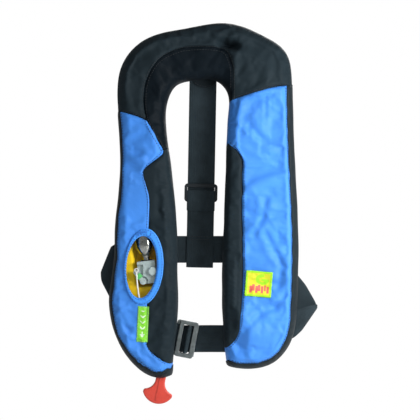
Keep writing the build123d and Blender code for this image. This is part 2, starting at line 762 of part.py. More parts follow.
def buckle_point(u, v, depth=-BELT_FRONT_Y):
    """A point given in the buckle's tilted frame."""
    x, z = along(u, v, BUCKLE_AT, BUCKLE_TILT)
    return (x, -depth, z)


BUCKLE_ACROSS = (-sin(radians(BUCKLE_TILT)), 0, cos(radians(BUCKLE_TILT)))
RIGHT_FOLD = (152.4, -351.5)
RIGHT_ACROSS = (0.57, 0.82)
RIGHT_OUT = (0.82, -0.57)
LEFT_FOLD = (-144.3, -263.9)
LEFT_ACROSS = (0.376, 0.927)
LEFT_OUT = (-0.927, 0.376)
BACK_FACING = (0, 1, 0)
FRONT_FACING = (0, -1, 0)

waist_belt_back = band(
    [
        ((-70, BELT_BACK_Y, BELT_BACK_Z), (0, 0, 1), BACK_FACING),
        ((62, BELT_BACK_Y, BELT_BACK_Z), (0, 0, 1), BACK_FACING),
    ]
)
write(waist_belt_back, "waist_belt_back")

waist_belt_right = band(
    [
        ((62, BELT_BACK_Y, BELT_BACK_Z), (0, 0, 1), BACK_FACING),
        ((100, BELT_BACK_Y, -274), (0.5, 0, 0.866), BACK_FACING),
        ((131, BELT_BACK_Y, -315), (0.68, 0, 0.73), BACK_FACING),
    ]
    + hairpin(RIGHT_FOLD, RIGHT_ACROSS, RIGHT_OUT)
    + [
        ((112, BELT_FRONT_Y, -367), (0.25, 0, 0.97), FRONT_FACING),
        ((72, BELT_FRONT_Y, -380), (0.04, 0, 1), FRONT_FACING),
    ]
)
write(waist_belt_right, "waist_belt_right")

waist_belt_left = band(
    [
        ((-70, BELT_BACK_Y, BELT_BACK_Z), (0, 0, 1), BACK_FACING),
        ((-110, BELT_BACK_Y, -255), (0.12, 0, 0.99), BACK_FACING),
    ]
    + hairpin(LEFT_FOLD, LEFT_ACROSS, LEFT_OUT)
    + [
        ((-123, BELT_FRONT_Y, -311), (0.72, 0, 0.69), FRONT_FACING),
        ((-101, BELT_FRONT_Y, -348), (0.74, 0, 0.67), FRONT_FACING),
        (buckle_point(-40, 0), BUCKLE_ACROSS, FRONT_FACING),
    ]
)
write(waist_belt_left, "waist_belt_left")

waist_belt_front = band(
    [
        ((72, BELT_FRONT_Y, -380), (0.04, 0, 1), FRONT_FACING),
        ((34, BELT_FRONT_Y, -381), (0, 0, 1), FRONT_FACING),
        ((8, 7.6, -381.3), (0, 0, 1), FRONT_FACING),
        ((-34, 7.6, -381.5), (0, 0, 1), FRONT_FACING),
    ]
)
write(waist_belt_front, "waist_belt_front")

# ---------------------------------------------------------------- belt keepers on the lobes' backs
KEEPER_HALF_W = 11.0
KEEPER_TOP = 23.5  # half the bridge's flat top
KEEPER_RISE = 26.5  # half the bridge's width where it meets the cover
KEEPER_FOOT = 32.0
KEEPER_T = 1.5
KEEPER_SEAT_Y = -0.9
KEEPER_TOP_Y = -6.8


def keeper(centre, across_tilt):
    """A sewn-down bridge that the belt runs under."""
    turned = radians(across_tilt)
    plane = Plane(
        origin=(centre[0], 0, centre[1]),
        x_dir=(sin(turned), 0, cos(turned)),
        z_dir=(cos(turned), 0, -sin(turned)),
    )
    with BuildPart() as bridge:
        with BuildSketch(plane):
            with BuildLine():
                FilletPolyline(
                    (-KEEPER_FOOT, KEEPER_SEAT_Y),
                    (-KEEPER_RISE, KEEPER_SEAT_Y),
                    (-KEEPER_TOP, KEEPER_TOP_Y),
                    (KEEPER_TOP, KEEPER_TOP_Y),
                    (KEEPER_RISE, KEEPER_SEAT_Y),
                    (KEEPER_FOOT, KEEPER_SEAT_Y),
                    radius=1.6,
                )
                offset(amount=KEEPER_T / 2, side=Side.BOTH, kind=Kind.ARC)
            make_face()
        extrude(amount=KEEPER_HALF_W, both=True)
    return bridge


write(keeper((82, -377.5), 6), "right_belt_keeper")
write(keeper((-108, -337), 47), "left_belt_keeper")

# ---------------------------------------------------------------- buckle: fixed frame and toggle
FRAME_T = 2.8
FRAME_FRONT = -2.3  # behind the cover's back face
FRAME_SIZE = (31.5, 53.0)
FRAME_SLOT = (17.0, 42.0)
TOGGLE_T = 2.8
TOGGLE_SIZE = (27.1, 54.0)  # without its rolled edge
TOGGLE_SLOT = (14.4, 42.0)
TOGGLE_BAR_R = 2.0
TOGGLE_BAR_U = 1.5
ROLLED_EDGE_R = TOGGLE_T / 2  # the toggle turns about its rolled right edge
ROLLED_EDGE_U = 13.55
ROLLED_EDGE_LENGTH = 47.0


def buckle_plane(depth):
    """The buckle's tilted plane at a depth in front of the cover's back face."""
    return tilted(*BUCKLE_AT, BUCKLE_TILT, depth)


with BuildPart() as buckle_frame:
    with BuildSketch(buckle_plane(FRAME_FRONT - FRAME_T)):
        with Locations((-2.2, 0)):
            RectangleRounded(*FRAME_SIZE, 4)
        with Locations((-1.5, 0)):
            RectangleRounded(*FRAME_SLOT, 1.5, mode=Mode.SUBTRACT)
    extrude(amount=FRAME_T)
    fillet(faces().sort_by(Axis.Y)[0].edges(), radius=0.7)
write(buckle_frame, "buckle_frame")

with BuildPart() as buckle_toggle:
    with BuildSketch(buckle_plane(0)):
        with Locations((ROLLED_EDGE_U - TOGGLE_SIZE[0] / 2, 0)):
            RectangleRounded(*TOGGLE_SIZE, 3.5)
        RectangleRounded(*TOGGLE_SLOT, 1, mode=Mode.SUBTRACT)
    extrude(amount=TOGGLE_T)
    fillet(faces().sort_by(Axis.Y)[0].edges(), radius=0.8)
    bar_plane = Plane(origin=buckle_point(TOGGLE_BAR_U, -22, TOGGLE_T / 2), z_dir=BUCKLE_ACROSS)
    with BuildSketch(bar_plane):
        Circle(TOGGLE_BAR_R - 0.65)
    extrude(amount=44)
    edge_origin = buckle_point(ROLLED_EDGE_U, -ROLLED_EDGE_LENGTH / 2, ROLLED_EDGE_R)
    with BuildSketch(Plane(origin=edge_origin, z_dir=BUCKLE_ACROSS)):
        Circle(ROLLED_EDGE_R)
    extrude(amount=ROLLED_EDGE_LENGTH)
write(buckle_toggle, "buckle_toggle")

with BuildPart() as toggle_webbing:
    wrap_plane = Plane(
        origin=buckle_point(TOGGLE_BAR_U, -WEB_W / 2, TOGGLE_T / 2), x_dir=(1, 0, 0), z_dir=BUCKLE_ACROSS
    )
    with BuildSketch(wrap_plane):
        Circle(TOGGLE_BAR_R + WEB_T)
        with Locations((TOGGLE_BAR_R + WEB_T / 2, 3.1)):
            Rectangle(WEB_T, 6.2)
        Circle(TOGGLE_BAR_R, mode=Mode.SUBTRACT)
    extrude(amount=WEB_W)
write(toggle_webbing, "toggle_webbing")

with BuildPart() as buckle_end_webbing:
    end_plane = Plane(origin=buckle_point(0, -WEB_W / 2, 0), x_dir=(0, -1, 0), z_dir=BUCKLE_ACROSS)
    with BuildSketch(end_plane):
        with BuildLine():
            FilletPolyline((-1.2, -34), (-1.2, -8.6), (-6.2, -8.6), (-6.2, -26), (-3.6, -38.8), radius=1.7)
            offset(amount=WEB_T / 2, side=Side.BOTH, kind=Kind.ARC)
        make_face()
    extrude(amount=WEB_W)
write(buckle_end_webbing, "buckle_end_webbing")
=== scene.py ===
"""Looks of the inflatable life jacket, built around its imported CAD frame. Metres, front towards -Y."""

import math
from math import cos, pi, radians, sin

import bmesh
import bpy
import numpy as np
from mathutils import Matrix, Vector, noise
from mathutils.bvhtree import BVHTree
from mathutils.geometry import delaunay_2d_cdt


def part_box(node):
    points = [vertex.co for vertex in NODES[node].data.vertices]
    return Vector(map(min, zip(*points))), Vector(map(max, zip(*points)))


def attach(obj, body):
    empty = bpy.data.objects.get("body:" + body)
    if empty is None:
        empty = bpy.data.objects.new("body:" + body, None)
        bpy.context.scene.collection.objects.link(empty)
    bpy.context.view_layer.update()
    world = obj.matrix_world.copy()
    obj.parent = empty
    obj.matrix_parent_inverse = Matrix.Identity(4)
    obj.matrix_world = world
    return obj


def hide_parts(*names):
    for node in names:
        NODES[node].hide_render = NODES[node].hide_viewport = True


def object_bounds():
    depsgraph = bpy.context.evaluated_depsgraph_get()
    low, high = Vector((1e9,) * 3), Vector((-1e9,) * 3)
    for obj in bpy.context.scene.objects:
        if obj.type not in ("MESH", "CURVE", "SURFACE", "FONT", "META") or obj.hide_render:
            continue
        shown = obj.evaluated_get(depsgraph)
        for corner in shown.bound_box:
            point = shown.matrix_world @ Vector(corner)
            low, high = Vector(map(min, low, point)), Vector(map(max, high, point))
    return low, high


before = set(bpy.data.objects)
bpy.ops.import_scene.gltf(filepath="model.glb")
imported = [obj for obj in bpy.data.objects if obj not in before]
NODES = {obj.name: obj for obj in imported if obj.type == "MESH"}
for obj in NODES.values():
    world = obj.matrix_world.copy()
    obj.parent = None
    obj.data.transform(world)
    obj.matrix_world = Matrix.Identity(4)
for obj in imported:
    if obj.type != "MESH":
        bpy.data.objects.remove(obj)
CAD_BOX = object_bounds()
MM = 0.001

# ---------------------------------------------------------------- camera and lights
VIEW_SCALE = 0.609  # width of the view at the cover's face
CAMERA_AT = Vector((0.0072, -2.05, -0.1914))
FLOOR_DROP = 0.045


def make_camera():
    data = bpy.data.cameras.new("camera")
    data.sensor_width = 36
    data.lens = 36 * (-CAMERA_AT.y - 0.03) / VIEW_SCALE
    camera = bpy.data.objects.new("camera", data)
    bpy.context.collection.objects.link(camera)
    camera.location = CAMERA_AT
    camera.rotation_euler = (pi / 2, 0, 0)
    bpy.context.scene.camera = camera


def make_light(name, at, aim, size, power):
    data = bpy.data.lights.new(name, "AREA")
    data.shape = "DISK"
    data.size = size
    data.energy = power
    light = bpy.data.objects.new(name, data)
    bpy.context.collection.objects.link(light)
    light.location = at
    light.rotation_euler = (Vector(aim) - Vector(at)).to_track_quat("-Z", "Y").to_euler()


def make_surroundings():
    """A white studio and a pale floor. The world looks white but lights the jacket softly, so folds show."""
    bpy.ops.mesh.primitive_plane_add(size=12, location=(0, 0, CAD_BOX[0][2] - FLOOR_DROP))
    floor = bpy.context.object
    floor.name = "floor"
    material, tree, shader = start_material("floor_paint", (0.9, 0.9, 0.9), 0.9)
    white = add_node(tree, "ShaderNodeEmission", {"Strength": 1.0})
    view_ray = add_node(tree, "ShaderNodeLightPath")
    mixed = add_node(tree, "ShaderNodeMixShader")
    tree.links.new(view_ray.outputs["Is Camera Ray"], mixed.inputs[0])
    tree.links.new(shader.outputs[0], mixed.inputs[1])
    tree.links.new(white.outputs[0], mixed.inputs[2])
    tree.links.new(mixed.outputs[0], tree.nodes["Material Output"].inputs["Surface"])
    floor.data.materials.append(material)
    world = bpy.data.worlds.new("studio")
    world.use_nodes = True
    tree = world.node_tree
    seen = tree.nodes["Background"]
    seen.inputs["Color"].default_value = (1, 1, 1, 1)
    seen.inputs["Strength"].default_value = 1.0
    lighting = add_node(tree, "ShaderNodeBackground", {"Color": (0.93, 0.97, 1, 1), "Strength": 0.3})
    rays = add_node(tree, "ShaderNodeLightPath")
    either = add_node(tree, "ShaderNodeMixShader")
    tree.links.new(rays.outputs["Is Camera Ray"], either.inputs[0])
    tree.links.new(lighting.outputs[0], either.inputs[1])
    tree.links.new(seen.outputs[0], either.inputs[2])
    tree.links.new(either.outputs[0], tree.nodes["World Output"].inputs["Surface"])
    bpy.context.scene.world = world
    make_light("key", (0.55, -0.5, -0.08), (0.33, 0, -0.2), 0.35, 8.2)
    make_light("fill", (0.15, -1.9, 0.9), (0, 0, -0.2), 0.8, 8)
    make_light("rear", (0.5, 1.9, 0.7), (0, 0, -0.2), 1.0, 34)
    bpy.context.scene.view_settings.view_transform = "Standard"


# ---------------------------------------------------------------- materials
def start_material(name, colour, roughness, metallic=0.0):
    material = bpy.data.materials.new(name)
    material.use_nodes = True
    tree = material.node_tree
    shader = tree.nodes["Principled BSDF"]
    shader.inputs["Base Color"].default_value = (*colour, 1)
    shader.inputs["Roughness"].default_value = roughness
    shader.inputs["Metallic"].default_value = metallic
    return material, tree, shader


def add_node(tree, kind, values=None, **settings):
    node = tree.nodes.new(kind)
    for key, value in settings.items():
        setattr(node, key, value)
    for key, value in (values or {}).items():
        node.inputs[key].default_value = value
    return node


def mottle(tree, shader, source, colour, amount, scale):
    """Slow variation of a colour, darker and lighter by an amount."""
    cloud = add_node(tree, "ShaderNodeTexNoise", {"Scale": scale, "Detail": 4.0})
    tree.links.new(source, cloud.inputs["Vector"])
    ramp = add_node(tree, "ShaderNodeValToRGB")
    dark = [channel * (1 - amount) for channel in colour]
    light = [min(1, channel * (1 + amount)) for channel in colour]
    ramp.color_ramp.elements[0].color = (*dark, 1)
    ramp.color_ramp.elements[1].color = (*light, 1)
    ramp.color_ramp.elements[0].position = 0.3
    ramp.color_ramp.elements[1].position = 0.7
    tree.links.new(cloud.outputs["Fac"], ramp.inputs["Fac"])
    tree.links.new(ramp.outputs["Color"], shader.inputs["Base Color"])
    return cloud


def add_bump(tree, shader, height, strength, distance):
    bump = add_node(tree, "ShaderNodeBump", {"Strength": strength, "Distance": distance})
    tree.links.new(height, bump.inputs["Height"])
    tree.links.new(bump.outputs["Normal"], shader.inputs["Normal"])


def vary_roughness(tree, shader, source, low, high):
    span = add_node(tree, "ShaderNodeMapRange", {"To Min": low, "To Max": high})
    tree.links.new(source, span.inputs["Value"])
    tree.links.new(span.outputs["Result"], shader.inputs["Roughness"])


def woven(name, colour, roughness, thread=1.1 * MM, amount=0.10, sheen=0.03, depth=0.35, shine=0.2):
    """Plain woven nylon: crossed threads with slow mottling, a soft sheen and fine creases."""
    material, tree, shader = start_material(name, colour, roughness)
    place = add_node(tree, "ShaderNodeTexCoord").outputs["Object"]
    cloud = mottle(tree, shader, place, colour, amount, 14)
    vary_roughness(tree, shader, cloud.outputs["Fac"], roughness - 0.08, roughness + 0.1)
    warp = add_node(tree, "ShaderNodeTexWave", {"Scale": 0.314 / thread}, bands_direction="X")
    weft = add_node(tree, "ShaderNodeTexWave", {"Scale": 0.314 / thread}, bands_direction="Z")
    crease = add_node(tree, "ShaderNodeTexNoise", {"Scale": 90.0, "Detail": 5.0, "Distortion": 1.2})
    for texture in (warp, weft, crease):
        tree.links.new(place, texture.inputs["Vector"])
    cross = add_node(tree, "ShaderNodeMath", operation="MAXIMUM")
    tree.links.new(warp.outputs["Fac"], cross.inputs[0])
    tree.links.new(weft.outputs["Fac"], cross.inputs[1])
    total = add_node(tree, "ShaderNodeMath", {1: 0.12}, operation="MULTIPLY_ADD")
    tree.links.new(cross.outputs[0], total.inputs[0])
    tree.links.new(crease.outputs["Fac"], total.inputs[2])
    add_bump(tree, shader, total.outputs[0], depth, 0.8 * MM)
    shader.inputs["Sheen Weight"].default_value = sheen
    shader.inputs["Sheen Roughness"].default_value = 0.4
    shader.inputs["Specular IOR Level"].default_value = shine
    return material


def webbing_material(name, colour):
    """Ribbed harness webbing. U runs across the width and V along it, in metres."""
    material, tree, shader = start_material(name, colour, 0.62)
    uv = add_node(tree, "ShaderNodeTexCoord").outputs["UV"]
    place = add_node(tree, "ShaderNodeTexCoord").outputs["Object"]
    mottle(tree, shader, place, colour, 0.18, 60)
    ribs = add_node(tree, "ShaderNodeTexWave", {"Scale": 180.0, "Distortion": 0.6}, bands_direction="Y")
    cords = add_node(tree, "ShaderNodeTexWave", {"Scale": 120.0, "Distortion": 0.3}, bands_direction="X")
    for texture in (ribs, cords):
        tree.links.new(uv, texture.inputs["Vector"])
    both = add_node(tree, "ShaderNodeMath", operation="ADD")
    tree.links.new(ribs.outputs["Fac"], both.inputs[0])
    tree.links.new(cords.outputs["Fac"], both.inputs[1])
    add_bump(tree, shader, both.outputs[0], 0.5, 0.3 * MM)
    shader.inputs["Sheen Weight"].default_value = 0.01
    shader.inputs["Specular IOR Level"].default_value = 0.1
    return material


def moulded(name, colour, roughness, grain=900.0, depth=0.12, coat=0.0, shine=0.5):
    """Moulded plastic or rubber with a fine grain and faint handling marks."""
    material, tree, shader = start_material(name, colour, roughness)
    place = add_node(tree, "ShaderNodeTexCoord").outputs["Object"]
    cloud = mottle(tree, shader, place, colour, 0.08, 70)
    vary_roughness(tree, shader, cloud.outputs["Fac"], roughness - 0.06, roughness + 0.12)
    speck = add_node(tree, "ShaderNodeTexNoise", {"Scale": grain, "Detail": 3.0})
    tree.links.new(place, speck.inputs["Vector"])
    add_bump(tree, shader, speck.outputs["Fac"], depth, 0.2 * MM)
    shader.inputs["Coat Weight"].default_value = coat
    shader.inputs["Specular IOR Level"].default_value = shine
    return material


def metal(name, colour, roughness, brush=0.25):
    """Metal with fine tumbling marks and worn, brighter patches."""
    material, tree, shader = start_material(name, colour, roughness, metallic=1.0)
    place = add_node(tree, "ShaderNodeTexCoord").outputs["Object"]
    cloud = mottle(tree, shader, place, colour, 0.22, 160)
    vary_roughness(tree, shader, cloud.outputs["Fac"], roughness - 0.08, roughness + 0.12)
    scratch = add_node(tree, "ShaderNodeTexNoise", {"Scale": 700.0, "Detail": 6.0, "Distortion": 0.8})
    tree.links.new(place, scratch.inputs["Vector"])
    add_bump(tree, shader, scratch.outputs["Fac"], brush, 0.15 * MM)
    return material


def clear_vinyl():
    material, tree, shader = start_material("clear_vinyl", (0.03, 0.03, 0.03), 0.14)
    place = add_node(tree, "ShaderNodeTexCoord").outputs["Object"]
    ripple = add_node(tree, "ShaderNodeTexNoise", {"Scale": 35.0, "Detail": 1.0})
    tree.links.new(place, ripple.inputs["Vector"])
    add_bump(tree, shader, ripple.outputs["Fac"], 0.25, 2 * MM)
    vary_roughness(tree, shader, ripple.outputs["Fac"], 0.08, 0.2)
    shader.inputs["Specular IOR Level"].default_value = 0.25
    shader.inputs["Alpha"].default_value = 0.05
    return material


BLUE = woven("blue_nylon", (0.047, 0.215, 0.66), 0.55)
BLACK = woven("black_nylon", (0.0112, 0.0186, 0.0235), 0.62, sheen=0.008, shine=0.07)
LINING = woven(
    "navy_lining", (0.0035, 0.0065, 0.0095), 0.55, thread=0.8 * MM, sheen=0.004, depth=0.2, shine=0.05
)
BACKING = woven("back_nylon", (0.012, 0.016, 0.019), 0.66, thread=1.6 * MM, sheen=0.01, shine=0.1)
TRIM = woven("binding_tape", (0.011, 0.017, 0.021), 0.55, thread=0.7 * MM, sheen=0.015, shine=0.1)
BEZEL_BLUE = woven("bezel_tape", (0.05, 0.265, 0.78), 0.45, thread=0.6 * MM, depth=0.15)
THREAD_BLACK = moulded("black_thread", (0.008, 0.010, 0.014), 0.7)
THREAD_GREY = moulded("grey_thread", (0.009, 0.013, 0.016), 0.7)
THREAD_PALE = moulded("pale_thread", (0.5, 0.56, 0.45), 0.7)
THREAD_BLUE = moulded("blue_thread", (0.02, 0.09, 0.38), 0.6)
YELLOW = woven("yellow_coated", (1.0, 0.61, 0.012), 0.6, thread=0.7 * MM, amount=0.10, sheen=0.0, shine=0.15)
WEBBING = webbing_material("harness_webbing", (0.018, 0.028, 0.034))
STEEL = metal("buckle_steel", (0.19, 0.215, 0.215), 0.36)
CHROME = metal("cylinder_plate", (0.40, 0.40, 0.37), 0.15, brush=0.04)
BRASS = metal("stem_brass", (0.6, 0.45, 0.18), 0.3)
GREY = moulded("grey_plastic", (0.41, 0.50, 0.49), 0.42)
PALE = moulded("pale_plastic", (0.55, 0.60, 0.60), 0.4)
BLACK_PLASTIC = moulded("black_plastic", (0.012, 0.016, 0.019), 0.5, shine=0.2)
RUBBER = moulded("black_rubber", (0.015, 0.015, 0.015), 0.7)
RED = moulded("red_plastic", (0.56, 0.046, 0.026), 0.45, coat=0.03)
GREEN = moulded("green_plastic", (0.10, 0.50, 0.13), 0.35)
ORANGE = moulded("orange_plastic", (0.85, 0.25, 0.03), 0.35)
CORD_WHITE = woven("cord_braid", (0.78, 0.78, 0.74), 0.6, thread=0.8 * MM, depth=0.6)
LABEL_GREEN = woven("label_green", (0.19, 0.55, 0.035), 0.5, thread=0.5 * MM, amount=0.05, depth=0.15)
LABEL_WHITE = woven("label_white", (0.62, 0.74, 0.55), 0.5, thread=0.5 * MM, amount=0.04, depth=0.15)
BADGE_YELLOW = woven("badge_yellow", (0.56, 0.58, 0.03), 0.5, thread=0.5 * MM, amount=0.06, depth=0.2)
BADGE_CORAL = woven("badge_coral", (0.60, 0.11, 0.09), 0.5, thread=0.5 * MM, amount=0.08, depth=0.2)
BADGE_LIME = woven("badge_lime", (0.30, 0.66, 0.02), 0.5, thread=0.5 * MM, amount=0.06, depth=0.2)


# ---------------------------------------------------------------- mesh helpers
def make_piece(name, verts, faces, material, body="jacket", replaces=(), turn_out=True):
    mesh = bpy.data.meshes.new(name)
    mesh.from_pydata([tuple(v) for v in verts], [], [tuple(f) for f in faces])
    mesh.validate()
    piece = bpy.data.objects.new(name, mesh)
    bpy.context.collection.objects.link(piece)
    mesh.materials.append(material)
    for polygon in mesh.polygons:
        polygon.use_smooth = True
    if turn_out:
        bm = bmesh.new()
        bm.from_mesh(mesh)
        bmesh.ops.recalc_face_normals(bm, faces=bm.faces)
        bm.to_mesh(mesh)
        bm.free()
    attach(piece, body)
    if replaces:
        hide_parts(*replaces)
    return piece


def add_subdivision(piece, levels=1):
    modifier = piece.modifiers.new("smooth", "SUBSURF")
    modifier.levels = levels
    modifier.render_levels = levels


def smooth_line(points, step, closed=False):
    """Points a step apart along a Catmull-Rom curve through the given 2-D or 3-D points."""
    fine = []
    count = len(points)
    spans = count if closed else count - 1
    for index in range(spans):
        if closed:
            around = [Vector(points[(index + k) % count]) for k in (-1, 0, 1, 2)]
        else:
            around = [Vector(points[min(max(index + k, 0), count - 1)]) for k in (-1, 0, 1, 2)]
        p0, p1, p2, p3 = around
        slope = p2 - p0
        bend = 2 * p0 - 5 * p1 + 4 * p2 - p3
        twist = 3 * p1 - p0 - 3 * p2 + p3
        for k in range(24):
            t = k / 24
            fine.append(0.5 * (2 * p1 + slope * t + bend * t**2 + twist * t**3))
    fine.append(Vector(points[0] if closed else points[-1]))
    lengths = [0.0]
    for a, b in zip(fine, fine[1:]):
        lengths.append(lengths[-1] + (b - a).length)
    pieces = max(2, round(lengths[-1] / step))
    result = []
    at = 0
    for index in range(pieces if closed else pieces + 1):
        target = lengths[-1] * index / pieces
        while at < len(lengths) - 2 and lengths[at + 1] < target:
            at += 1
        span = lengths[at + 1] - lengths[at] or 1
        result.append(fine[at].lerp(fine[at + 1], (target - lengths[at]) / span))
    return result


def distances(points, line, closed=False):
    """Distance from each 2-D point to a polyline."""
    p = np.array([tuple(v) for v in points])[:, None, :]
    a = np.array([tuple(v) for v in line])
    b = np.roll(a, -1, axis=0) if closed else a[1:]
    a = a if closed else a[:-1]
    run = b - a
    t = np.clip(((p - a) * run).sum(2) / np.maximum((run**2).sum(1), 1e-12), 0, 1)
    near = a + t[..., None] * run
    return np.sqrt(((p - near) ** 2).sum(2)).min(1)


def inside(points, polygon):
    """Which 2-D points lie inside a closed polygon."""
    p = np.array([tuple(v) for v in points])
    poly = np.array([tuple(v) for v in polygon])
    x, z = p[:, 0, None], p[:, 1, None]
    ax, az = poly[:, 0], poly[:, 1]
    bx, bz = np.roll(ax, -1), np.roll(az, -1)
    crosses = (az > z) != (bz > z)
    at = ax + (z - az) * (bx - ax) / np.where(bz == az, 1e-12, bz - az)
    return (np.logical_and(crosses, x < at).sum(1) % 2) == 1


def ease(value, low, high):
    """A smooth step from 0 at low to 1 at high."""
    t = min(max((value - low) / (high - low), 0), 1)
    return t * t * (3 - 2 * t)


def ring_faces(rings, count):
    """Quads between neighbouring rings of vertices."""
    faces = []
    for ring in range(rings - 1):
        for k in range(count):
            a, b = ring * count + k, ring * count + (k + 1) % count
            faces.append((a, b, b + count, a + count))
    return faces


# ---------------------------------------------------------------- the cover's outline and seams
BACK_PANELS = ("left_back_panel", "right_back_panel", "collar_back_panel")
PANEL_LOOKS = {
    "left_blue_panel": (BLUE, "blue_fabric"),
    "left_inner_panel": (BLACK, "black_fabric"),
    "left_edge_binding": (TRIM, "black_fabric"),
    "right_blue_panel": (BLUE, "blue_fabric"),
    "right_inner_panel": (BLACK, "black_fabric"),
    "right_edge_binding": (TRIM, "black_fabric"),
    "collar_cover": (BLACK, "black_fabric"),
    "neck_lining": (LINING, "lining_fabric"),
    **{name: (BACKING, "back_fabric") for name in BACK_PANELS},
}
BINDING_T, CLOTH_T = 1.9 * MM, 0.9 * MM
LONGEST_SHIFT = 6.5 * MM  # how far the simulation may move a point of the cover
GRID = 4.2 * MM


def read_outline():
    """The cover's outline on XZ, in order, from the rear edges of the CAD back panels."""
    runs = {}
    for node in BACK_PANELS:
        bm = bmesh.new()
        bm.from_mesh(NODES[node].data)
        bmesh.ops.remove_doubles(bm, verts=bm.verts, dist=1e-6)
        bm.normal_update()
        for edge in bm.edges:
            a, b = (v.co for v in edge.verts)
            if min(a.y, b.y) < -1e-5 or len(edge.link_faces) != 2:
                continue
            facing = sorted(abs(face.normal.y) for face in edge.link_faces)
            seam_line = abs(a.z - b.z) < 1e-6
            if facing[0] < 0.5 and facing[1] > 0.9 and not seam_line:
                ends = [(round(p.x, 5), round(p.z, 5)) for p in (a, b)]
                runs.setdefault(ends[0], []).append(ends[1])
                runs.setdefault(ends[1], []).append(ends[0])
        bm.free()
    start = min(runs)
    loop = [start]
    previous = None
    while True:
        following = [p for p in runs[loop[-1]] if p != previous]
        previous = loop[-1]
        if not following or following[0] == start:
            break
        loop.append(following[0])
    area = sum(a[0] * b[1] - b[0] * a[1] for a, b in zip(loop, loop[1:] + loop[:1]))
    return smooth_line(loop if area > 0 else loop[::-1], GRID, closed=True)


LEFT_TOP_SEAM = [(-0.135, -0.046), (-0.105, -0.0545), (-0.086, -0.062), (-0.0805, -0.0695), (-0.0605, -0.1045)]
LEFT_TURN = [(-0.0605, -0.1045), (-0.0618, -0.111), (-0.0835, -0.1305), (-0.0875, -0.141), (-0.084, -0.158)]
LEFT_EDGE_SEAM = [
    *LEFT_TURN,
    (-0.0805, -0.178),
    (-0.0815, -0.225),
    (-0.083, -0.30),
    (-0.0835, -0.372),
    (-0.079, -0.392),
    (-0.0605, -0.4085),
    (-0.0435, -0.4165),
]
RIGHT_TOP_SEAM = [(0.030, -0.036), (0.0389, -0.0325), (0.0783, -0.0203), (0.1044, -0.0138), (0.135, -0.011)]
RIGHT_EDGE_SEAM = [
    (0.024, -0.090),
    (0.0325, -0.0945),
    (0.0435, -0.104),
    (0.0505, -0.1145),
    (0.0537, -0.131),
    (0.0540, -0.20),
    (0.0547, -0.29),
    (0.0515, -0.345),
    (0.0465, -0.372),
    (0.0345, -0.388),
    (0.022, -0.394),
]
NECK_SEAM = [
    (-0.0605, -0.1045),
    (-0.0805, -0.0695),
    (-0.087, -0.045),
    (-0.0855, -0.012),
    (-0.075, 0.012),
    (-0.0605, 0.0275),
    (-0.044, 0.036),
    (-0.029, 0.0405),
    (-0.005, 0.042),
    (0.0174, 0.0405),
    (0.029, 0.036),
    (0.0355, 0.024),
    (0.039, 0.007),
    (0.0389, -0.0325),
]
WALL_HEIGHTS = (0.0, 0.16, 0.36, 0.62)  # share of the cover's depth
CORD_EXIT_X, CORD_EXIT_HALF = -0.0625, 10.5 * MM  # the wall's opening for the handle's stem
DEPTH = -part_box("collar_cover")[0].y
CYLINDER_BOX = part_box("co2_cylinder")
ROLL = 17 * MM
BEZEL_LOW, BEZEL_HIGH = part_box("window_bezel")
LENS_LOW, LENS_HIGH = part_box("window_lens")
WINDOW_TILT = radians(-4)


def ellipse(low, high, grow=0.0, count=64):
    """A tilted ellipse on XZ that fills a box, grown or shrunk."""
    middle = (low + high) / 2
    half_w = (high.x - low.x) / 2 + grow - 0.2 * MM
    half_h = (high.z - low.z) / 2 + grow - 0.1 * MM
    line = []
    for index in range(count):
        turn = 2 * pi * index / count
        u, v = half_w * cos(turn), half_h * sin(turn)
        line.append(
            Vector((
                middle.x + u * cos(WINDOW_TILT) - v * sin(WINDOW_TILT),
                middle.z + u * sin(WINDOW_TILT) + v * cos(WINDOW_TILT),
            ))
        )
    return line


OUTLINE = read_outline()
WINDOW_LINE = ellipse(LENS_LOW, LENS_HIGH, grow=-2.5 * MM)
BEZEL_LINE = ellipse(BEZEL_LOW, BEZEL_HIGH)
SEAMS = {
    name: smooth_line(points, GRID)
    for name, points in (
        ("left_top", LEFT_TOP_SEAM),
        ("left_edge", LEFT_EDGE_SEAM),
        ("right_top", RIGHT_TOP_SEAM),
        ("right_edge", RIGHT_EDGE_SEAM),
        ("neck", NECK_SEAM),
    )
}
LEFT_HEM, RIGHT_HEM = 3.5 * MM, 8.5 * MM


def region_polygons():
    """Closed polygons on XZ that tell the cover's coloured panels apart."""
    left_blue = SEAMS["left_top"] + SEAMS["left_edge"] + [Vector((-0.0455, -0.47)), Vector((-0.17, -0.47))]
    right_blue = (
        SEAMS["right_top"] + [Vector((0.17, -0.47)), Vector((0.022, -0.47))] + SEAMS["right_edge"][::-1]
    )
    neck = SEAMS["neck"] + [Vector((0.02, -0.06)), Vector((0.0, -0.1045))]
    left_lobe = [Vector(p) for p in ((-0.17, -0.046), (-0.135, -0.046))] + SEAMS["left_top"]
    left_lobe += [Vector((0, -0.1045)), Vector((0, -0.5)), Vector((-0.17, -0.5))]
    return left_blue, right_blue, neck, left_lobe


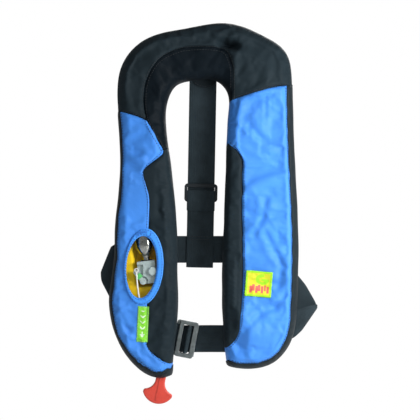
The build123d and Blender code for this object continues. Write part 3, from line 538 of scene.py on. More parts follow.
def classify(points, edge_distance):
    """The panel that each point of the front belongs to."""
    left_blue, right_blue, neck, left_lobe = (inside(points, area) for area in region_polygons())
    p = np.array([tuple(v) for v in points])
    outer_left = (p[:, 0] < -0.085) | ((p[:, 1] < -0.39) & (p[:, 0] < -0.064)) | (p[:, 1] < -0.4215)
    outer_right = (p[:, 0] > 0.10) | ((p[:, 1] < -0.395) & (p[:, 0] > 0.045)) | (p[:, 1] < -0.4085)
    names = []
    for index in range(len(points)):
        if left_blue[index]:
            rim = outer_left[index] and edge_distance[index] < left_hem_width(p[index])
            names.append("left_edge_binding" if rim else "left_blue_panel")
        elif right_blue[index]:
            rim = outer_right[index] and edge_distance[index] < RIGHT_HEM
            names.append("right_edge_binding" if rim else "right_blue_panel")
        elif left_lobe[index]:
            names.append("left_inner_panel")
        elif neck[index]:
            names.append("neck_lining")
        elif p[index][0] > 0 and p[index][1] < -0.06:
            names.append("right_inner_panel")
        else:
            names.append("collar_cover")
    return names


def left_hem_width(point):
    """The left lobe's binding wanders with the puckered cloth and widens along its bottom."""
    low = min(max((-0.37 - point[1]) / 0.05, 0), 1)
    return LEFT_HEM + (low * 5 + 2.6 * noise.noise(Vector((0.4, 2.7, point[1] * 38)))) * MM


# ---------------------------------------------------------------- the cover as one closed pillow
def inward_directions():
    """The outline's points and the direction into the cover at each."""
    grid = np.array([tuple(v) for v in OUTLINE])
    ahead = np.roll(grid, -1, axis=0) - np.roll(grid, 1, axis=0)
    normal = np.stack([-ahead[:, 1], ahead[:, 0]], axis=1) / np.linalg.norm(ahead, axis=1)[:, None]
    return grid, normal


def hem_lines():
    """The inner edges of the bindings, a hem's width inside the outline, as separate runs."""
    grid, normal = inward_directions()
    names = classify(grid, np.zeros(len(grid)))
    runs = []
    for wanted in ("left_edge_binding", "right_edge_binding"):
        line = []
        for point, inward, name in zip(grid, normal, names):
            if name != wanted:
                runs.append(line)
                line = []
                continue
            width = left_hem_width(point) if wanted.startswith("left") else RIGHT_HEM
            line.append(Vector(point + inward * width))
        runs.append(line)
    return [line for line in runs if len(line) > 2]


def sheet_points():
    """Interior points and constraint edges for the cover's front."""
    points = [v.copy() for v in OUTLINE]
    edges = []
    fixed = [*SEAMS.values(), WINDOW_LINE + WINDOW_LINE[:1], BEZEL_LINE + BEZEL_LINE[:1], *hem_lines()]
    for line in fixed:
        first = len(points)
        keep = inside(line, OUTLINE)
        clear = distances(line, OUTLINE, closed=True) > 1.2 * MM
        last = None
        for vertex, ok in zip(line, keep & clear):
            if not ok:
                last = None
                continue
            points.append(Vector(vertex))
            if last is not None:
                edges.append((last, len(points) - 1))
            last = len(points) - 1
    low = np.min([tuple(v) for v in OUTLINE], axis=0)
    high = np.max([tuple(v) for v in OUTLINE], axis=0)
    grid = []
    row = 0
    z = low[1]
    while z < high[1]:
        x = low[0] + (row % 2) * GRID / 2
        while x < high[0]:
            grid.append(Vector((x, z)))
            x += GRID
        z += GRID * 0.866
        row += 1
    grid = [v for v, ok in zip(grid, inside(grid, OUTLINE)) if ok]
    clear = distances(grid, OUTLINE, closed=True) > 0.6 * GRID
    for line in fixed:
        clear &= distances(grid, line) > 0.5 * GRID
    points += [v for v, ok in zip(grid, clear) if ok]
    return points, edges


def build_cover():
    """One closed mesh: back sheet, side wall and crowned front, with a window. Also its panel names."""
    points, edges = sheet_points()
    rim = len(OUTLINE)
    flat, _, faces, _, _, _ = delaunay_2d_cdt(points, edges, [list(range(rim))], 1, 1e-6)
    edge_distance = distances(flat, OUTLINE, closed=True)
    on_rim = edge_distance < 1e-6
    seam_distance = np.min([distances(flat, line) for line in SEAMS.values()], axis=0)
    faces = [f for f in faces if len(f) == 3]

    rim_order = order_rim(flat, on_rim)
    verts = []
    front = {}
    back = {}
    wall_top = WALL_HEIGHTS[-1] * DEPTH
    for index, point in enumerate(flat):
        roll = min(edge_distance[index] / ROLL, 1)
        crown = 2.0 * MM * min(edge_distance[index] / (40 * MM), 1)
        y = -(wall_top + (DEPTH - wall_top - 2.5 * MM + crown) * math.sqrt(max(0, 1 - (1 - roll) ** 2)))
        y += 1.6 * MM * math.exp(-((seam_distance[index] / (2.4 * MM)) ** 2)) * roll
        front[index] = len(verts)
        verts.append(Vector((point.x, y, point.y)))
    for index, point in enumerate(flat):
        back[index] = len(verts)
        verts.append(Vector((point.x, 0.0, point.y)))
    walls = [[back[i] for i in rim_order]]
    centre_line = [flat[i] for i in rim_order]
    count = len(rim_order)
    for height in WALL_HEIGHTS[1:-1]:
        ring = []
        for k, i in enumerate(rim_order):
            ahead = centre_line[(k + 1) % count] - centre_line[k - 1]
            out = Vector((ahead.y, -ahead.x)).normalized()
            ring.append(len(verts))
            wander = 1.1 + 0.9 * noise.noise(Vector((flat[i].x * 30, height, flat[i].y * 30)))
            x = flat[i].x + out.x * wander * MM
            z = flat[i].y + out.y * wander * MM
            verts.append(Vector((x, -height * DEPTH, z)))
        walls.append(ring)
    walls.append([front[i] for i in rim_order])

    centres = [(flat[a] + flat[b] + flat[c]) / 3 for a, b, c in faces]
    centre_edge = distances(centres, OUTLINE, closed=True)
    names = classify(centres, centre_edge)
    in_window = inside(centres, WINDOW_LINE)
    all_faces = []
    panel_of = []
    for (a, b, c), name, hole in zip(faces, names, in_window):
        all_faces.append((front[a], front[b], front[c]))
        panel_of.append("window_hole" if hole else name)
        all_faces.append((back[c], back[b], back[a]))
        middle = (flat[a] + flat[b] + flat[c]) / 3
        low = middle.y < (-0.040 if middle.x < 0 else -0.052)
        side = ("left_back_panel" if middle.x < 0 else "right_back_panel") if low else "collar_back_panel"
        panel_of.append(side)
    wall_names = classify([flat[i] for i in rim_order], [0.0] * count)
    for band, (lower, upper) in enumerate(zip(walls, walls[1:])):
        for k in range(count):
            following = (k + 1) % count
            all_faces.append((lower[k], lower[following], upper[following], upper[k]))
            spot = flat[rim_order[k]]
            is_exit = band == 2 and spot.y < -0.40 and abs(spot.x - CORD_EXIT_X) < CORD_EXIT_HALF
            panel_of.append("cord_exit" if is_exit else wall_names[k])
    return verts, all_faces, panel_of, edge_distance, front, flat


def order_rim(flat, on_rim):
    """The outline's vertices in order round the cover."""
    start = np.array([tuple(v) for v in OUTLINE])
    found = np.array([tuple(v) for v in flat])
    rim = np.nonzero(on_rim)[0]
    order = []
    for point in start:
        order.append(int(rim[np.argmin(((found[rim] - point) ** 2).sum(1))]))
    return order


def puff(cover, free):
    """Cloth simulation: air pressure and a little spare cloth, with the seams and the back held."""
    group = cover.vertex_groups.new(name="held")
    for index, weight in enumerate(free):
        group.add([index], 1.0 - weight, "REPLACE")
    modifier = cover.modifiers.new("cloth", "CLOTH")
    cloth = modifier.settings
    cloth.vertex_group_mass = "held"
    cloth.quality = 5
    cloth.mass = 0.25
    cloth.tension_stiffness = 12
    cloth.compression_stiffness = 12
    cloth.bending_stiffness = 0.12
    cloth.shrink_min = -0.045
    cloth.pin_stiffness = 0.6
    cloth.use_pressure = True
    cloth.uniform_pressure_force = 2.2
    cloth.effector_weights.gravity = 0
    scene = bpy.context.scene
    last_frame = 22
    modifier.point_cache.frame_start = 1
    modifier.point_cache.frame_end = last_frame
    for number in range(1, last_frame + 1):
        scene.frame_set(number)
    shaped = cover.evaluated_get(bpy.context.evaluated_depsgraph_get()).to_mesh()
    result = [v.co.copy() for v in shaped.vertices]
    cover.modifiers.remove(modifier)
    scene.frame_set(1)
    return result


def crumple(point, amount):
    """Depth of the cloth's folds at a point: soft slanting waves and a few sharper creases."""
    slant = Vector((point.x * 16 + point.z * 9, point.z * 22 - point.x * 5, 0.3))
    soft = noise.noise(slant) + 0.5 * noise.noise(slant * 2.3)
    fine = noise.noise(Vector((point.x * 70, point.y * 40, point.z * 55)))
    across = point.x * 0.64 + point.z * 0.77
    ahead = point.x * 0.77 - point.z * 0.64
    crease = 1 - abs(noise.noise(Vector((across * 34, ahead * 11, 4.1)))) * 3.2
    counter = 1 - abs(noise.noise(Vector((ahead * 26, across * 9, 8.7)))) * 3.6
    sharp = max(crease, 0) ** 3 + 0.7 * max(counter, 0) ** 3
    return amount * (2.1 * soft + 0.3 * fine - 1.8 * sharp) * MM


FOLDS = (  # soft creases pressed into the blue covers
    ((0.0865, -0.225), (0.100, -0.250), (0.1105, -0.274), (0.105, -0.300)),
    ((0.088, -0.176), (0.084, -0.200), (0.072, -0.228)),
    ((0.128, -0.298), (0.113, -0.316), (0.100, -0.333)),
    ((0.058, -0.362), (0.076, -0.343), (0.099, -0.330)),
    ((0.066, -0.070), (0.086, -0.092), (0.112, -0.104)),
    ((-0.130, -0.172), (-0.121, -0.189), (-0.103, -0.206)),
    ((-0.126, -0.088), (-0.112, -0.103), (-0.094, -0.110)),
    ((-0.140, -0.330), (-0.124, -0.342), (-0.110, -0.366)),
)


def pressed_folds(points):
    """Depth of the pressed creases: a groove with a soft roll of cloth beside it."""
    depth = np.zeros(len(points))
    for line in FOLDS:
        away = distances(points, smooth_line([Vector(p) for p in line], GRID))
        groove = 2.1 * MM * np.exp(-((away / (3.8 * MM)) ** 2))
        roll = 1.2 * MM * np.exp(-(((away - 8 * MM) / (4.5 * MM)) ** 2))
        depth += groove - roll
    return depth


PINCH_AT = (0.0335, 0.0470)


def collar_fold(point):
    """The pinch at the top of the right cover: a hollow under a ridge, and a lip down beside the neck."""
    right, up = point.x - PINCH_AT[0], point.z - PINCH_AT[1]
    u = right * 0.985 - up * 0.17
    v = right * 0.17 + up * 0.985
    v += 1.6 * MM * noise.noise(Vector((u * 110, 0.7, 3.1)))
    hollow = 24 * MM * math.exp(-((u / (14 * MM)) ** 4) - (v / (5.4 * MM)) ** 2)
    ridge = -4.2 * MM * math.exp(-(((u + 3 * MM) / (20 * MM)) ** 2) - ((v - 11 * MM) / (5 * MM)) ** 2)
    under = -3.4 * MM * math.exp(-(((u - 8 * MM) / (12 * MM)) ** 2) - ((v + 10 * MM) / (5 * MM)) ** 2)
    beside = point.x - (0.0425 + 0.12 * (point.z - 0.02))
    along_lip = ease(point.z, -0.035, -0.01) * (1 - ease(point.z, 0.034, 0.044))
    lip = -3.4 * MM * math.exp(-((beside / (4.6 * MM)) ** 2)) * along_lip
    return hollow + ridge + under + lip


CORD_POINTS = (
    (-0.0989, -0.0424, -0.281),
    (-0.0965, -0.042, -0.318),
    (-0.084, -0.034, -0.366),
    (-0.0636, -0.024, -0.421),
)
PULLED = Vector((0.0031, 0, -0.0258))  # how far the handle and its cord are pulled
CORD_SWEEP = [point + PULLED * share for share in (0, 0.5, 1) for point in smooth_line(CORD_POINTS, 8 * MM)]


def clear_depth(place):
    """How far forward the cover has to stay over the gas cylinder, the inflator and the pulled cord."""
    low, high = CYLINDER_BOX
    beside = max(low.x - place.x, place.x - high.x, low.z - place.z, place.z - high.z, 0)
    depth = (-low.y + 1.8 * MM) * max(0, 1 - (beside / (26 * MM)) ** 2)
    for point in CORD_SWEEP:
        away = max(math.hypot(place.x - point.x, place.z - point.z) - 5 * MM, 0)
        if away < 18 * MM:
            depth = max(depth, (-point.y + 3.2 * MM) * (1 - (away / (18 * MM)) ** 2))
    return depth


def shape_cover(verts, faces, edge_distance, front, flat):
    """The cover's vertices after the simulation, its folds, and the room that its contents need."""
    mesh = bpy.data.meshes.new("cover_pillow")
    mesh.from_pydata([tuple(v) for v in verts], [], faces)
    cover = bpy.data.objects.new("cover_pillow", mesh)
    bpy.context.collection.objects.link(cover)
    free = np.zeros(len(verts))
    steady = np.ones(len(verts))
    bezel_clear = distances(flat, BEZEL_LINE, closed=True)
    under_bezel = inside(flat, BEZEL_LINE)
    hem_clear = np.min([distances(flat, line) for line in hem_lines()], axis=0)
    for index in range(len(flat)):
        slack = min(bezel_clear[index] / (12 * MM), 1) * (not under_bezel[index])
        free[front[index]] = slack * min(edge_distance[index] / (18 * MM), 1)
        steady[front[index]] = 0.15 + 0.85 * ease(hem_clear[index], 2 * MM, 13 * MM)
    moved = puff(cover, free)
    folds = pressed_folds(flat)
    shaped = []
    for index, (rest, now) in enumerate(zip(verts, moved)):
        shift = now - rest
        shift.x *= steady[index]
        shift.z *= steady[index]
        if shift.length > LONGEST_SHIFT:
            shift *= LONGEST_SHIFT / shift.length
        place = rest + shift
        if free[index] > 0:
            place.y += crumple(place, free[index]) + collar_fold(place)
            place.y += folds[index] * free[index]
            place.y = min(place.y, -clear_depth(place))
        shaped.append(place)
    bpy.data.objects.remove(cover)
    return shaped


def make_cover():
    """The puffed cover, split into its panels, each a smooth shell riding on the jacket."""
    verts, faces, panel_of, edge_distance, front, flat = build_cover()
    shaped = shape_cover(verts, faces, edge_distance, front, flat)
    for name, (material, slot_name) in PANEL_LOOKS.items():
        own = [face for face, panel in zip(faces, panel_of) if panel == name]
        used = sorted({index for face in own for index in face})
        place = {index: k for k, index in enumerate(used)}
        own_verts = [shaped[i] for i in used]
        own_faces = [[place[i] for i in face] for face in own]
        piece = make_piece(
            name + "_cloth", own_verts, own_faces, material, replaces=(name,), turn_out=False
        )
        add_subdivision(piece)
        shell = piece.modifiers.new("cloth_thickness", "SOLIDIFY")
        is_tape = name.endswith("edge_binding")
        shell.thickness = BINDING_T if is_tape else CLOTH_T
        shell.offset = 0 if is_tape else -1
    outer = [f for f, panel in zip(faces, panel_of) if panel not in ("window_hole", "cord_exit")]
    return BVHTree.FromPolygons(shaped, outer)


make_camera()
make_surroundings()
COVER_TREE = make_cover()


def cover_face(x, z, lift=0.0):
    """The point on the cover's front at X and Z, lifted towards the viewer."""
    hit = COVER_TREE.ray_cast(Vector((x, -0.2, z)), Vector((0, 1, 0)))[0]
    return Vector((x, (hit.y if hit else -DEPTH) - lift, z))


def facing_at(x, z):
    """The cover's surface direction at X and Z, towards the viewer."""
    normal = COVER_TREE.ray_cast(Vector((x, -0.2, z)), Vector((0, 1, 0)))[1]
    if normal is None:
        return Vector((0, -1, 0))
    return -normal if normal.y > 0 else normal


# ---------------------------------------------------------------- stitches
ROW_STEP = 0.8 * MM


def stitches(name, rows, material, length=2.7 * MM, gap=1.3 * MM, thick=0.5 * MM):
    """Rows of short raised threads. A row is a list of (point, outward direction) pairs."""
    verts, faces = [], []
    for row in rows:
        line = smooth_line([point for point, _ in row], ROW_STEP)
        outs = [row[round(k * (len(row) - 1) / (len(line) - 1))][1] for k in range(len(line))]
        every = max(2, round((length + gap) / ROW_STEP))
        reach = max(1, round(length / ROW_STEP))
        for k in range(0, len(line) - reach, every):
            a, b = line[k], line[k + reach]
            out = outs[k]
            run = (b - a).normalized()
            side = run.cross(out).normalized() * thick
            lift = out * thick
            first = len(verts)
            verts.append(a - lift * 0.4)
            for t in (0.18, 0.82):
                middle = a.lerp(b, t)
                verts.extend((middle + side, middle + lift * 1.1, middle - side, middle - lift * 0.5))
            verts.append(b - lift * 0.4)
            for q in range(4):
                w = (q + 1) % 4
                faces.append((first, first + 1 + q, first + 1 + w))
                faces.append((first + 1 + q, first + 5 + q, first + 5 + w, first + 1 + w))
                faces.append((first + 9, first + 5 + w, first + 5 + q))
    return make_piece(name, verts, faces, material)


def cover_row(line, aside, lift=0.25 * MM):
    """A row on the cover's face beside a seam line, for stitching."""
    row = []
    for k, point in enumerate(line):
        ahead = line[min(k + 1, len(line) - 1)] - line[max(k - 1, 0)]
        normal = Vector((-ahead.y, ahead.x)).normalized()
        spot = point + normal * aside
        if inside([spot], OUTLINE)[0] and distances([spot], OUTLINE, closed=True)[0] > 4 * MM:
            row.append((cover_face(spot.x, spot.y, lift), facing_at(spot.x, spot.y)))
    return row


def cover_stitching():
    """Top stitching beside each seam and along the inner edge of each binding."""
    seam_rows = []
    for name, aside in (("left_top", 2.4), ("left_edge", -2.4), ("right_top", 2.4), ("right_edge", 2.4)):
        row = cover_row(SEAMS[name], aside * MM)
        if len(row) > 3:
            seam_rows.append(row)
    neck_rows = [cover_row(SEAMS["neck"], aside * MM) for aside in (-2.2, 3.0)]
    hem_rows = [cover_row(line, 1.2 * MM, lift=1.1 * MM) for line in hem_lines()]
    stitches("seam_stitching", seam_rows, THREAD_BLACK)
    stitches("neck_stitching", [row for row in neck_rows if len(row) > 3], THREAD_GREY)
    stitches("hem_stitching", [row for row in hem_rows if len(row) > 3], THREAD_GREY)


# ---------------------------------------------------------------- webbing
WEB_W, WEB_T = 40 * MM, 1.8 * MM
BELT_BACK_Y, BELT_FRONT_Y = 23.4, 3.6


def even_stations(stations, step, rounds):
    """Centre, across and facing at even steps along a strap, with its bends relaxed."""
    run = []
    for (c0, a0, f0), (c1, a1, f1) in zip(stations, stations[1:]):
        pieces = max(1, round((Vector(c1) - Vector(c0)).length * MM / step))
        for k in range(pieces):
            t = k / pieces
            centre = Vector(c0).lerp(Vector(c1), t) * MM
            run.append([centre, Vector(a0).lerp(Vector(a1), t), Vector(f0).lerp(Vector(f1), t)])
    c, a, f = stations[-1]
    run.append([Vector(c) * MM, Vector(a), Vector(f)])
    for _ in range(rounds):
        before = [[v.copy() for v in station] for station in run]
        for k in range(1, len(run) - 1):
            for part in range(3):
                run[k][part] = (before[k - 1][part] + before[k][part] * 2 + before[k + 1][part]) / 4
    return run


def ribbon(name, stations, replaces, body="jacket", width=WEB_W, thick=WEB_T, step=3 * MM, rounds=10, wave=0.5):
    """Webbing with rounded edges that follows stations given in millimetres."""
    run = even_stations(stations, step, rounds)
    half = width / 2
    across_at = [-half, -half + 0.7 * MM, -half * 0.55, 0, half * 0.55, half - 0.7 * MM, half]
    section = [(u, thick / 2 if 0 < k < 6 else thick * 0.22) for k, u in enumerate(across_at)]
    section += [(u, -h) for u, h in reversed(section)]
    verts, uvs = [], []
    length = 0.0
    for k, (centre, across, facing) in enumerate(run):
        tangent = (run[min(k + 1, len(run) - 1)][0] - run[max(k - 1, 0)][0]).normalized()
        across = across.normalized()
        out = across.cross(tangent)
        skew = min(1 / max(out.length, 0.2), 1.5)
        out.normalize()
        if out.dot(facing) < 0:
            out = -out
        if k:
            length += (centre - run[k - 1][0]).length
        for u, h in section:
            ripple = noise.noise(Vector((length * 14, u * 22, len(name)))) * wave * MM
            verts.append(centre + across * (u * skew) + out * (h + ripple))
            uvs.append((u, length))
    count = len(section)
    faces = ring_faces(len(run), count)
    faces.append(tuple(range(count)))
    faces.append(tuple(range(len(verts) - 1, len(verts) - count - 1, -1)))
    piece = make_piece(name, verts, faces, WEBBING, body=body, replaces=replaces)
    layer = piece.data.uv_layers.new(name="along")
    for loop in piece.data.loops:
        layer.data[loop.index].uv = uvs[loop.vertex_index]
    add_subdivision(piece)
    return piece


def hairpin(fold, across, outward, before, after):
    """The belt's turn at a fold, arriving from one point of its middle line and leaving to another, on XZ."""
    middle = (BELT_BACK_Y + BELT_FRONT_Y) / 2
    radius = (BELT_BACK_Y - BELT_FRONT_Y) / 2
    stations = []
    for step in range(7):
        turned = radians(30 * step)
        run = Vector(before if step < 3 else after) - Vector(fold)
        centre = Vector(fold) + run.normalized() * radius * (1 - sin(turned))
        facing = (outward[0] * sin(turned), cos(turned), outward[1] * sin(turned))
        centre_line = (centre.x, middle + radius * cos(turned), centre.y)
        stations.append((centre_line, (across[0], 0, across[1]), facing))
    return stations


BUCKLE_AT = (-27.5, -381.5)
BUCKLE_TURN = radians(-11)
BUCKLE_ACROSS = (-sin(BUCKLE_TURN), 0, cos(BUCKLE_TURN))
BUCKLE_ALONG = (cos(BUCKLE_TURN), 0, sin(BUCKLE_TURN))
FRONTWARD, BACKWARD = (0, -1, 0), (0, 1, 0)


def buckle_point(u, y):
    """A point on the buckle's middle line, u to its right and y behind the cover's back face."""
    return (BUCKLE_AT[0] + u * cos(BUCKLE_TURN), y, BUCKLE_AT[1] + u * sin(BUCKLE_TURN))


def make_belt():
    left = [((-110, BELT_BACK_Y, -255), (0.12, 0, 0.99), BACKWARD)]
    left += hairpin((-147.0, -264.5), (0.376, 0.927), (-0.927, 0.376), (-110, -255), (-123, -311))
    left += [
        ((-123, BELT_FRONT_Y, -311), (0.72, 0, 0.69), FRONTWARD),
        ((-101, BELT_FRONT_Y, -348), (0.74, 0, 0.67), FRONTWARD),
        (buckle_point(-40, BELT_FRONT_Y), BUCKLE_ACROSS, FRONTWARD),
    ]
    right = [
        ((-70, BELT_BACK_Y, -250), (0, 0, 1), BACKWARD),
        ((62, BELT_BACK_Y, -250), (0, 0, 1), BACKWARD),
        ((100, BELT_BACK_Y, -274), (0.5, 0, 0.866), BACKWARD),
        ((133, BELT_BACK_Y, -314), (0.68, 0, 0.73), BACKWARD),
    ]
    right += hairpin((155.0, -352.5), (0.57, 0.82), (0.82, -0.57), (133, -314), (112, -367))
    right += [
        ((112, BELT_FRONT_Y, -367), (0.25, 0, 0.97), FRONTWARD),
        ((72, BELT_FRONT_Y, -380), (0.04, 0, 1), FRONTWARD),
        ((34, BELT_FRONT_Y, -381), (0, 0, 1), FRONTWARD),
        ((8, 7.6, -381.3), (0, 0, 1), FRONTWARD),
        ((-34.5, 7.8, -381.5), (0, 0, 1), FRONTWARD),
        ((-39.5, 8.4, -381.5), (0, 0, 1), FRONTWARD),
    ]
    nodes = ("waist_belt_left", "waist_belt_back", "waist_belt_right", "waist_belt_front")
    ribbon("waist_belt", left[::-1] + right, nodes, rounds=3)
    folded = [
        (buckle_point(-34, 1.2), BUCKLE_ACROSS, FRONTWARD),
        (buckle_point(-10.5, 1.2), BUCKLE_ACROSS, FRONTWARD),
        (buckle_point(-8.6, 2.3), BUCKLE_ACROSS, BUCKLE_ALONG),
        (buckle_point(-8.6, 5.1), BUCKLE_ACROSS, BUCKLE_ALONG),
        (buckle_point(-10.5, 6.2), BUCKLE_ACROSS, BACKWARD),
        (buckle_point(-26, 6.2), BUCKLE_ACROSS, BACKWARD),
        (buckle_point(-38.8, 3.9), BUCKLE_ACROSS, BACKWARD),
    ]
    ribbon("buckle_end_loop", folded, ("buckle_end_webbing",), step=0.8 * MM, rounds=3, wave=0.15)
    bar = buckle_point(1.5, -1.4)
    wrapped = [((bar[0] + 2.9, bar[1] + 6.1, bar[2]), BUCKLE_ACROSS, (1, 0, 0))]
    for step in range(9):
        turned = radians(28 * step)
        out = (cos(turned), -sin(turned), 0)
        wrapped.append(((bar[0] + 2.9 * out[0], bar[1] + 2.9 * out[1], bar[2]), BUCKLE_ACROSS, out))
    ribbon("toggle_wrap", wrapped, ("toggle_webbing",), body="toggle", step=0.7 * MM, rounds=2, wave=0.1)


def make_keeper(name, node, centre, across_tilt):
    turned = radians(across_tilt)
    long_way = (sin(turned), cos(turned))
    across = (cos(turned), 0, -sin(turned))
    stations = [
        ((centre[0] + long_way[0] * at, y, centre[1] + long_way[1] * at), across, BACKWARD)
        for at, y in ((-32, 0.9), (-26.5, 0.9), (-23.5, 6.8), (23.5, 6.8), (26.5, 0.9), (32, 0.9))
    ]
    ribbon(name, stations, (node,), width=22 * MM, thick=1.5 * MM, step=1.2 * MM, rounds=2, wave=0.15)


STRAP_LEAN = radians(1.1)
STRAP_KNEE, STRAP_LOW = -18.0, -217.0
STRAP_SLOPE = (19.6 - 1.6) / (STRAP_KNEE - STRAP_LOW)
STRAP_ACROSS = (cos(STRAP_LEAN), 0, -sin(STRAP_LEAN))


def strap_point(y, down):
    """A point on the back strap's middle line."""
    return (-3 + down * sin(STRAP_LEAN), y, down * cos(STRAP_LEAN))


def soften(node, name):
    """A sewn piece shaped like its CAD solid, in finer cloth with rounded edges and a slight pucker."""
    bm = bmesh.new()
    bm.from_mesh(NODES[node].data)
    bm.transform(NODES[node].matrix_world)
    bmesh.ops.remove_doubles(bm, verts=bm.verts, dist=0.01 * MM)
    for _ in range(4):
        long_edges = [edge for edge in bm.edges if edge.calc_length() > 5 * MM]
        bmesh.ops.subdivide_edges(bm, edges=long_edges, cuts=1)
        bmesh.ops.triangulate(bm, faces=bm.faces)
    bm.verts.ensure_lookup_table()
    verts = []
    for vertex in bm.verts:
        pucker = noise.noise(Vector((vertex.co.x * 70, 0.6, vertex.co.z * 70)))
        verts.append(vertex.co + Vector((0, 0.3 * MM * pucker, 0)))
    faces = [tuple(v.index for v in face.verts) for face in bm.faces]
    bm.free()
    add_subdivision(make_piece(name, verts, faces, TRIM, replaces=(node,)))


def make_strap_tab():
    soften("strap_tab", "strap_tab_cloth")
    row = []
    for at in range(-15, 16):
        lower = -9.4 + 7 * (at / 16.75) ** 2
        row.append((Vector((at - 0.25, -0.35, lower)) * MM, Vector((0, -1, 0))))
    stitches("tab_stitching", [row], THREAD_GREY)


def make_back_strap():
    stations = [
        (strap_point(2.5, 14), STRAP_ACROSS, FRONTWARD),
        (strap_point(2.5, STRAP_KNEE), STRAP_ACROSS, FRONTWARD),
        (strap_point(20.5, STRAP_LOW), STRAP_ACROSS, FRONTWARD),
        (strap_point(20.5, -271), STRAP_ACROSS, FRONTWARD),
        (strap_point(21.2, -275.6), STRAP_ACROSS, (0, -0.7, -0.7)),
        (strap_point(23, -277.4), STRAP_ACROSS, (0, 0, -1)),
        (strap_point(24.8, -275.6), STRAP_ACROSS, (0, 0.7, -0.7)),
        (strap_point(25.5, -271), STRAP_ACROSS, BACKWARD),
        (strap_point(25.5, -213), STRAP_ACROSS, BACKWARD),
    ]
    ribbon("back_strap_webbing", stations, ("back_strap",), step=1.6 * MM, rounds=3, wave=0.35)
    top, low = -152.5, -193.5
    loop = [
        (strap_point(1.6 + (STRAP_KNEE - at) * STRAP_SLOPE - lift, at), STRAP_ACROSS, FRONTWARD)
        for at, lift in ((top - 9, 1.2), (top - 14, 1.4), (-180, 1.3), (low, 1.2))
    ]
    wide = 41.6 * MM
    ribbon("slider_loop", loop, ("slider_webbing",), "slider", wide, step=1.5 * MM, rounds=2, wave=0.1)
    rows = []
    for down in (-231, -235):
        face_y = min(1.6 + (STRAP_KNEE - down) * STRAP_SLOPE, 19.6) - 0.25
        row = []
        for at in range(-17, 18):
            x, y, z = strap_point(face_y, down)
            row.append((Vector((x + at, y, z - at * sin(STRAP_LEAN))) * MM, Vector((0, -1, 0))))
        rows.append(row)
    stitches("strap_stitching", rows, THREAD_GREY)


# ---------------------------------------------------------------- window
RING_COUNT, LENS_COUNT = 120, 96
BEZEL_PROFILE = (  # share of the way outwards, height in millimetres
    (-0.05, -1.6),
    (0.0, 0.4),
    (0.09, 1.3),
    (0.28, 1.75),
    (0.5, 1.8),
    (0.74, 1.65),
    (0.92, 1.15),
    (1.0, 0.2),
    (1.0, -0.9),
)


def ring_line(share):
    """An oval between the window's opening at 0 and the bezel's outer edge at 1."""
    inner = ellipse(LENS_LOW, LENS_HIGH, grow=-2.5 * MM, count=RING_COUNT)
    outer = ellipse(BEZEL_LOW, BEZEL_HIGH, count=RING_COUNT)
    return [a.lerp(b, share) for a, b in zip(inner, outer)]


def make_bezel():
    """A raised tape round the window with rounded edges, puckered by its stitching."""
    verts = []
    for share, height in BEZEL_PROFILE:
        for k, spot in enumerate(ring_line(share)):
            pucker = 0.18 * sin(k * 2 * pi / 3.2) * sin(min(max(share, 0), 1) * pi)
            verts.append(cover_rest(spot, (height + pucker) * MM))
    faces = ring_faces(len(BEZEL_PROFILE), RING_COUNT)
    piece = make_piece("bezel_tape", verts, faces, BEZEL_BLUE, replaces=("window_bezel",))
    add_subdivision(piece)
    out = Vector((0, -1, 0))
    for name, share in (("bezel_stitching_inner", 0.2), ("bezel_stitching_outer", 0.82)):
        line = ring_line(share)
        stitches(name, [[(cover_rest(spot, 1.9 * MM), out) for spot in line + line[:1]]], THREAD_BLUE)
    zigzag = []
    for k, (low, high) in enumerate(zip(ring_line(0.3), ring_line(0.72))):
        if 22 <= k <= 40:
            zigzag.append((cover_rest(low if k % 2 else high, 2.1 * MM), out))
    bars = [[zigzag[k], zigzag[k + 1]] for k in range(len(zigzag) - 1)]
    stitches("bezel_zigzag", bars, THREAD_BLUE, length=5.6 * MM, gap=0.6 * MM, thick=0.45 * MM)


def cover_rest(spot, lift):
    """A point over the flat area of the cover that holds the window."""
    return Vector((spot.x, -DEPTH + 0.5 * MM - lift, spot.y))


def make_lens():
    """Clear vinyl with a slight bulge and ripple, sewn in behind the bezel."""
    middle = (LENS_LOW + LENS_HIGH) / 2
    verts, faces = [], []
    rim = ellipse(LENS_LOW, LENS_HIGH, grow=-0.6 * MM, count=LENS_COUNT)
    centre = Vector((middle.x, middle.z))
    shares = (0.0, 0.12, 0.26, 0.4, 0.54, 0.68, 0.82, 0.93, 1.0)
    verts.append(Vector((centre.x, 0, centre.y)))
    for share in shares[1:]:
        verts.extend(Vector((spot.x, 0, spot.y)) for spot in (centre.lerp(edge, share) for edge in rim))
    for k, vertex in enumerate(verts):
        out = 0 if k == 0 else shares[1 + (k - 1) // LENS_COUNT]
        ripple = noise.noise(Vector((vertex.x * 42, 0.2, vertex.z * 30))) * 0.5
        vertex.y = -DEPTH + (1.75 - (1.3 + ripple) * (1 - out**2)) * MM
    for k in range(LENS_COUNT):
        following = (k + 1) % LENS_COUNT
        faces.append((0, 1 + following, 1 + k))
        for ring in range(len(shares) - 2):
            a = 1 + ring * LENS_COUNT
            b = a + LENS_COUNT
            faces.append((a + k, a + following, b + following, b + k))
    vinyl = clear_vinyl()
    piece = make_piece("window_vinyl", verts, faces, vinyl, replaces=("window_lens",))
    shell = piece.modifiers.new("vinyl_thickness", "SOLIDIFY")
    shell.thickness = 0.5 * MM
    shell.offset = 1


INFLATOR_AT = Vector((-0.0837, -0.2814))
INFLATOR_TURN = radians(7)
INFLATOR_HALF = (14.5 * MM, 17 * MM)
TANK_HALF_W, TANK_LENGTH = 14.8 * MM, 148 * MM
FLANGE_R = 15 * MM


